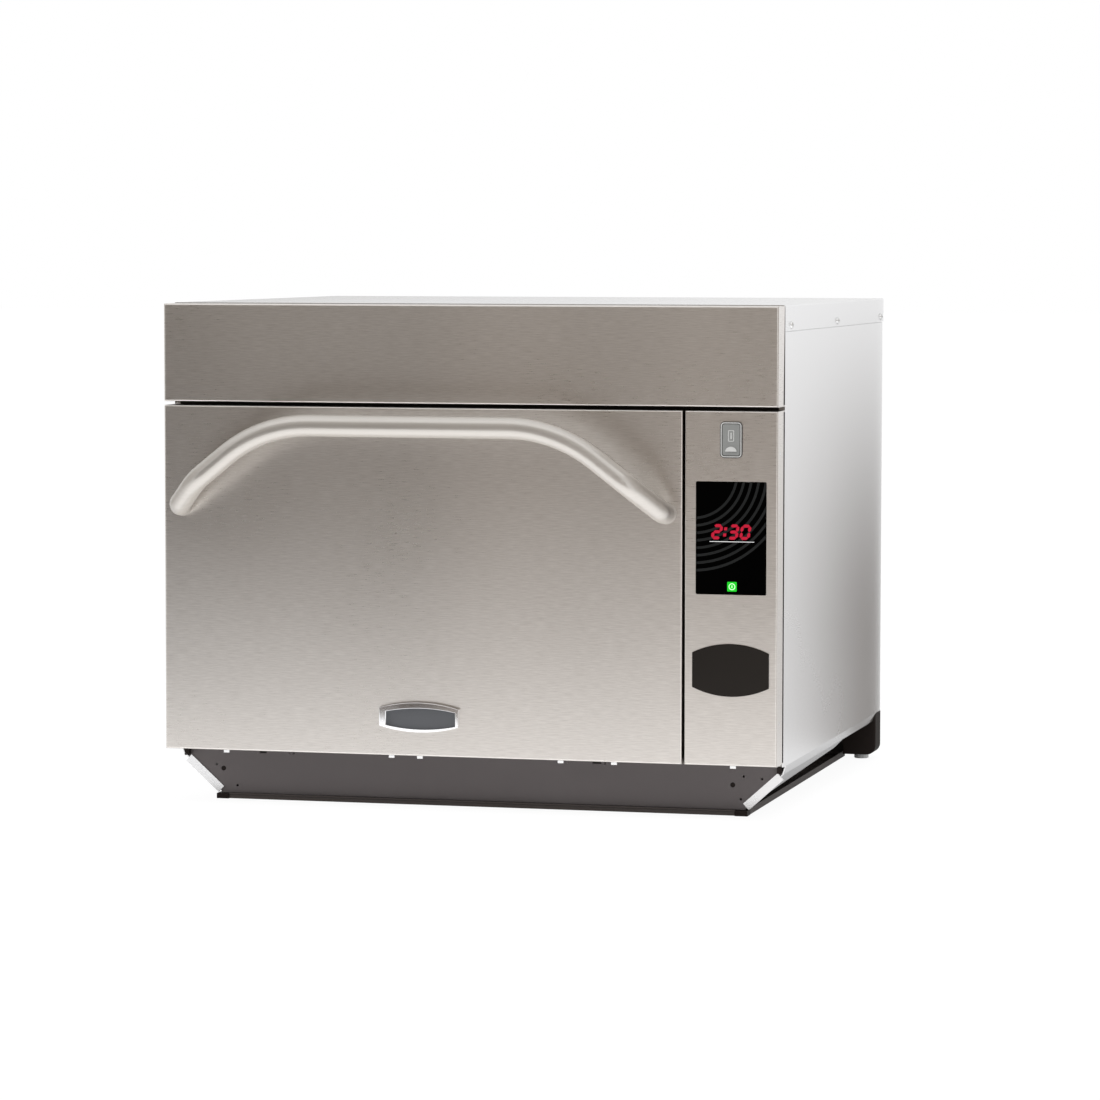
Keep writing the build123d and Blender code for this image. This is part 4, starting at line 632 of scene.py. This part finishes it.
def arched_outline(middle, top, wide, tall, straight):
    """Straight sides with an arched top and bottom, as (x, z) places."""
    rise = (tall - straight) / 2
    half = wide / 2
    radius = (half * half + rise * rise) / (2 * rise)
    sweep = math.asin(half / radius)
    angles = [-sweep + 2 * sweep * i / (ARC_POINTS - 1) for i in range(ARC_POINTS)]
    upper = [(middle + radius * math.sin(a), top - radius + radius * math.cos(a)) for a in angles]
    return upper + [(x, 2 * (top - tall / 2) - z) for x, z in reversed(upper)]


def arch_in_box(low, high, straight, gap=0.0):
    """The arched outline that fills a box, made larger all round by a gap."""
    return arched_outline((low.x + high.x) / 2, high.z + gap, high.x - low.x + 2 * gap, high.z - low.z + 2 * gap,
                          straight)


outer = arch_in_box(badge_low, badge_high, BADGE_STRAIGHT)
inner = arch_in_box(hole_low, hole_high, HOLE_STRAIGHT, PLATE_GAP)
rings = [[(out_x + share * (in_x - out_x), DOOR_FACE - height * MM, out_z + share * (in_z - out_z))
          for (out_x, out_z), (in_x, in_z) in zip(outer, inner)] for share, height in BADGE_STEPS]
badge = bmesh.new()
loft(badge, rings, closed=True)
piece("badge_bezel", badge, chrome, "door", ["badge_frame"], smooth=50)

# %% [markdown]
# ## Rear feet and plinth plugs
#
# Each rear foot is a moulded plastic block with a round lower corner and slightly broken edges, and it stands on a
# pale nylon glide. Two small holes in the plinth are backed by black discs just behind the face, as painted shade.

# %% Rear feet, glides and painted shade in the plinth holes
FOOT_LIFT = 5.3 * MM
FOOT_WIDE = 37.0 * MM
FOOT_CORNER = 10.0 * MM
FOOT_BEVEL = 0.8 * MM
CORNER_STEPS = 8
GLIDE_RADIUS = 8.0 * MM
GLIDE_BEVEL = 0.6 * MM
PLINTH_FACE = DOOR_FACE + 53.7 * MM
# Black discs just behind the plinth's face, as painted shade inside its two holes
HOLE_SHADE_RADIUS = 2.5 * MM
HOLE_SHADE_FRONT, HOLE_SHADE_BACK = PLINTH_FACE + 0.4 * MM, PLINTH_FACE + 1.0 * MM
HOLE_SHADE_PLACES = ((-275.0 * MM, 30.5 * MM), (263.4 * MM, 30.5 * MM))
nylon = coated("nylon_glide", ("#f4f4f3", "#fafafa"), 0.45, bump=0.03)


def foot_outline(side, low, high, inset):
    """A foot seen from the front, with a round corner below on its outer side, as (x, z) places."""
    outer, inner = side * half_width, side * (half_width - FOOT_WIDE)
    outer, inner = outer - side * inset, inner + side * inset
    radius = FOOT_CORNER - inset
    corner = [(outer - side * radius * (1 - math.sin(a)), low + inset + radius * (1 - math.cos(a)))
              for a in (math.pi / 2 * i / CORNER_STEPS for i in range(CORNER_STEPS + 1))]
    return [(inner, high - inset), (inner, low + inset)] + corner + [(outer, high - inset)]


for side, name in ((-1, "rear_foot_left"), (1, "rear_foot_right")):
    foot_low, foot_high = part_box(name)
    depths = (foot_low.y, foot_low.y + FOOT_BEVEL, foot_high.y - FOOT_BEVEL, foot_high.y)
    outlines = [foot_outline(side, FOOT_LIFT, foot_high.z, inset) for inset in (FOOT_BEVEL, 0, 0, FOOT_BEVEL)]
    block = bmesh.new()
    rows = loft(block, [[(x, y, z) for x, z in outline] for y, outline in zip(depths, outlines)])
    block.faces.new(rows[0])
    block.faces.new(rows[-1])
    piece(name + "_moulded", block, black_plastic, "cabinet", [name], smooth=35)
    glide = bmesh.new()
    glide_middle = (side * (half_width - FOOT_WIDE / 2), (foot_low.y + foot_high.y) / 2)
    disc = [[(x, y, level) for x, y in circle(glide_middle, radius)]
            for radius, level in ((GLIDE_RADIUS - GLIDE_BEVEL, 0), (GLIDE_RADIUS, GLIDE_BEVEL),
                                  (GLIDE_RADIUS, FOOT_LIFT))]
    rows = loft(glide, disc)
    glide.faces.new(rows[0])
    glide.faces.new(rows[-1])
    piece(name + "_glide", glide, nylon, "cabinet", smooth=35)

# The discs are painted shade inside the plinth's two holes.
shade_discs = bmesh.new()
for middle in HOLE_SHADE_PLACES:
    slab(shade_discs, circle(middle, HOLE_SHADE_RADIUS, points=24), HOLE_SHADE_FRONT, HOLE_SHADE_BACK)
piece("plinth_hole_shade_discs", shade_discs, black_plastic, "cabinet")

# %% [markdown]
# ## Lights on the screen
#
# A touch screen shows its picture behind black glass. Here that picture is a plain one: a cooking time in slanted
# bars, a line under it, a faint pattern of part circles and a green power key. Each is a plate a twentieth of a
# millimetre thick on the glass, with a glow that is dimmed by fine rows, as a display's is.

# %% Glowing inks
ROW_PITCH = 0.0011
WAVE_LENGTH = 0.314         # of a wave texture at a scale of 1


def glow_ink(name, colour, strength):
    """A lit patch of a display, with rows that are drawn coarser than the real 0.2 mm ones so that they show."""
    material, tree = new_material(name)
    rows = add(tree, "ShaderNodeTexWave", {"bands_direction": "Z"}, Vector=own_place(tree),
               Scale=WAVE_LENGTH / ROW_PITCH)
    tint = mix_colours(tree, rows.outputs["Fac"], linear(colour[0]), linear(colour[1]))
    finish_material(tree, add(tree, "ShaderNodeBsdfPrincipled", None, Base_Color=tint, Roughness=0.4,
                              Specular_IOR_Level=0.1, Emission_Color=tint, Emission_Strength=strength))
    return material


red_ink = glow_ink("display_red", ("#a3142c", "#bd1a35"), 0.38)
white_ink = glow_ink("display_white", ("#c9c9c9", "#dcdcdc"), 0.5)
faint_ink = glow_ink("display_grey", ("#1a1b1b", "#202121"), 0.25)
green_ink = glow_ink("display_green", ("#12a71c", "#1fc42a"), 0.6)
pale_green_ink = glow_ink("display_pale_green", ("#b9f2b4", "#d2f7cf"), 0.7)

# %% The time in bars
GLASS_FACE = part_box("touch_screen")[0].y
INK = 0.05 * MM
SEGMENTS = {"0": "abcdef", "2": "abged", "3": "abgcd"}
DIGIT_WIDE, DIGIT_TALL, BAR = 10.6 * MM, 15.2 * MM, 3.0 * MM
DIGIT_GAP, COLON_GAP = 1.4 * MM, 1.6 * MM
COLON_SHARES = (0.30, 0.70)
SLANT = 0.16
TIP_SHARE, SHOULDER_SHARE = 0.06, 0.56   # where a bar's point begins and ends, as shares of its thickness
TEXT_LEFT, TEXT_FOOT = 251.4 * MM, 281.0 * MM


def bar_outline(start, end, thickness):
    """A bar with pointed ends."""
    start, end = Vector(start), Vector(end)
    along = (end - start).normalized()
    across = Vector((-along.y, along.x)) * thickness / 2
    tip = along * thickness * TIP_SHARE
    shoulder = along * thickness * SHOULDER_SHARE
    return [start + tip, start + shoulder + across, end - shoulder + across, end - tip,
            end - shoulder - across, start + shoulder - across]


def slanted(points, left):
    """Points of a mark leaned over and moved to its place on the glass."""
    return [(left + p[0] + SLANT * p[1], TEXT_FOOT + p[1]) for p in points]


near, far = BAR / 2, DIGIT_WIDE - BAR / 2
low, middle, high = BAR / 2, DIGIT_TALL / 2, DIGIT_TALL - BAR / 2
BARS = {"a": ((near, high), (far, high)), "b": ((far, high), (far, middle)), "c": ((far, middle), (far, low)),
        "d": ((near, low), (far, low)), "e": ((near, middle), (near, low)), "f": ((near, high), (near, middle)),
        "g": ((near, middle), (far, middle))}
digits = bmesh.new()
left = TEXT_LEFT
for mark in "2:30":
    if mark == ":":
        for level in (DIGIT_TALL * share for share in COLON_SHARES):
            square = [(0, level - BAR / 2), (BAR, level - BAR / 2), (BAR, level + BAR / 2), (0, level + BAR / 2)]
            slab(digits, slanted(square, left), GLASS_FACE - INK, GLASS_FACE)
        left += BAR + COLON_GAP
    else:
        for name in SEGMENTS[mark]:
            slab(digits, slanted(bar_outline(*BARS[name], BAR), left), GLASS_FACE - INK, GLASS_FACE)
        left += DIGIT_WIDE + DIGIT_GAP
piece("screen_time", digits, red_ink, "cabinet")

# %% [markdown]
# The rest of the picture is drawn in the same way. The rings of the pattern are cut off at the edge of the glass,
# so each short step of a ring is clipped by the screen's four sides.

# %% Line, pattern and power key
LINE_LEFT, LINE_RIGHT = TEXT_LEFT - MM, TEXT_LEFT + 44 * MM
LINE_LOW, LINE_HIGH = 278.6 * MM, 279.2 * MM
glass_low, glass_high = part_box("touch_screen")
underline = bmesh.new()
slab(underline, [(LINE_LEFT, LINE_LOW), (LINE_RIGHT, LINE_LOW), (LINE_RIGHT, LINE_HIGH), (LINE_LEFT, LINE_HIGH)],
     GLASS_FACE - INK, GLASS_FACE)
piece("screen_underline", underline, white_ink, "cabinet")

PATTERN_RINGS = 8
PATTERN_START = 44 * MM
PATTERN_PITCH = 7.4 * MM
PATTERN_THICK = 2.6 * MM
PATTERN_STEPS = 90
PATTERN_MARGIN = 0.4 * MM
PATTERN_MIDDLE = (glass_low.x - 4 * MM, glass_high.z + 9 * MM)


def clipped(points, axis, limit, keep_above):
    """A polygon cut off by an upright or level line."""
    kept = []
    for start, end in zip(points, points[1:] + points[:1]):
        inside = [(p[axis] >= limit) == keep_above for p in (start, end)]
        if inside[0]:
            kept.append(start)
        if inside[0] != inside[1]:
            share = (limit - start[axis]) / (end[axis] - start[axis])
            kept.append(tuple(start[i] + share * (end[i] - start[i]) for i in (0, 1)))
    return kept


pattern = bmesh.new()
limits = ((0, glass_low.x + PATTERN_MARGIN, True), (0, glass_high.x - PATTERN_MARGIN, False),
          (1, glass_low.z + PATTERN_MARGIN, True), (1, glass_high.z - PATTERN_MARGIN, False))
for number in range(PATTERN_RINGS):
    radius = PATTERN_START + number * PATTERN_PITCH
    for step in range(PATTERN_STEPS):
        angles = [-math.pi / 2 * share / PATTERN_STEPS for share in (step, step + 1)]
        arc = [(PATTERN_MIDDLE[0] + r * math.cos(a), PATTERN_MIDDLE[1] + r * math.sin(a))
               for r, a in ((radius, angles[0]), (radius + PATTERN_THICK, angles[0]),
                            (radius + PATTERN_THICK, angles[1]), (radius, angles[1]))]
        for axis, limit, keep_above in limits:
            arc = clipped(arc, axis, limit, keep_above) if len(arc) > 2 else []
        if len(arc) > 2:
            slab(pattern, arc, GLASS_FACE - INK / 2, GLASS_FACE)
piece("screen_pattern", pattern, faint_ink, "cabinet")

KEY_MIDDLE = (273.2 * MM, 234.4 * MM)
KEY_HALF = 4.8 * MM
KEY_CORNER = 0.8 * MM
SIGN_OUTER, SIGN_INNER = 3.3 * MM, 2.6 * MM
SIGN_BAR = (0.4 * MM, 1.3 * MM)


def rounded_outline(middle, half_x, half_z, corner, points=5):
    """A rectangle with round corners, as (x, z) places."""
    outline = []
    for number, (sx, sz) in enumerate(((1, 1), (-1, 1), (-1, -1), (1, -1))):
        for step in range(points):
            angle = (number + step / (points - 1)) * math.pi / 2
            outline.append((middle[0] + sx * (half_x - corner) + corner * math.cos(angle),
                            middle[1] + sz * (half_z - corner) + corner * math.sin(angle)))
    return outline


key = bmesh.new()
slab(key, rounded_outline(KEY_MIDDLE, KEY_HALF, KEY_HALF, KEY_CORNER), GLASS_FACE - INK, GLASS_FACE)
piece("screen_power_key", key, green_ink, "cabinet")
sign = bmesh.new()
flat_ring(sign, circle(KEY_MIDDLE, SIGN_OUTER), circle(KEY_MIDDLE, SIGN_INNER), GLASS_FACE - 2 * INK,
          GLASS_FACE - INK)
slab(sign, [(KEY_MIDDLE[0] + sx * SIGN_BAR[0], KEY_MIDDLE[1] + sz * SIGN_BAR[1])
            for sx, sz in ((-1, -1), (1, -1), (1, 1), (-1, 1))], GLASS_FACE - 2 * INK, GLASS_FACE - INK)
piece("screen_power_sign", sign, pale_green_ink, "cabinet")

# %% [markdown]
# ## The port cover's sign
#
# The rubber cover is moulded with a raised sign for the socket behind it and a half-round lip for a finger. A thin
# pale rim on the housing round it is a painted highlight, where the housing's bevelled border catches the light.
# The sign here is a plain outlined slot. The sign and the lip are paler than the rubber.

# %% Rim, sign and lip of the port cover
# Pale rubber: a painted highlight on the rim, and the paler sign and lip
pale_rubber = coated("silicone_rubber_pale", ("#c9c9c7", "#d6d6d4"), 0.5)
cover_low, cover_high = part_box("port_cover")
cover_middle = (cover_low.x + cover_high.x) / 2
FLAP_FACE = DOOR_FACE - 1.6 * MM
SIGN_RAISE = 0.15 * MM
# Each outline's half width, half height and corner radius.
RIM_OUTER, RIM_INNER = (10.45 * MM, 17.2 * MM, 3.6 * MM), (9.45 * MM, 16.2 * MM, 2.6 * MM)
SLOT_OUTER, SLOT_INNER = (3.0 * MM, 5.6 * MM, 1.0 * MM), (2.3 * MM, 4.9 * MM, 0.6 * MM)
SLOT_TONGUE = (0.6 * MM, 3.2 * MM, 0.3 * MM)
LIP_RADIUS, LIP_STRETCH, LIP_POINTS, LIP_RAISE = 4.8 * MM, 1.2, 24, 0.1 * MM
rim_middle = (cover_middle, 379.7 * MM)
slot_middle = (cover_middle, 383.6 * MM)
lip_middle = (cover_middle, 368.15 * MM)

# The pale rim is a painted highlight on the housing's bevelled border.
rim = bmesh.new()
flat_ring(rim, rounded_outline(rim_middle, *RIM_OUTER, points=9), rounded_outline(rim_middle, *RIM_INNER, points=9),
          FLAP_FACE - SIGN_RAISE, FLAP_FACE)
piece("port_rim_highlight", rim, pale_rubber, "cabinet")
sign = bmesh.new()
flat_ring(sign, rounded_outline(slot_middle, *SLOT_OUTER), rounded_outline(slot_middle, *SLOT_INNER),
          FLAP_FACE - SIGN_RAISE, FLAP_FACE)
slab(sign, rounded_outline(slot_middle, *SLOT_TONGUE), FLAP_FACE - SIGN_RAISE, FLAP_FACE)
piece("port_cover_sign", sign, pale_rubber, "port_flap")
lip = bmesh.new()
round_lip = circle(lip_middle, LIP_RADIUS, LIP_POINTS, turn=math.pi * LIP_POINTS / (LIP_POINTS - 1))
slab(lip, [(cover_middle + LIP_STRETCH * (x - cover_middle), z) for x, z in round_lip], cover_low.y - LIP_RAISE,
     cover_low.y)
piece("port_cover_lip", lip, pale_rubber, "port_flap")
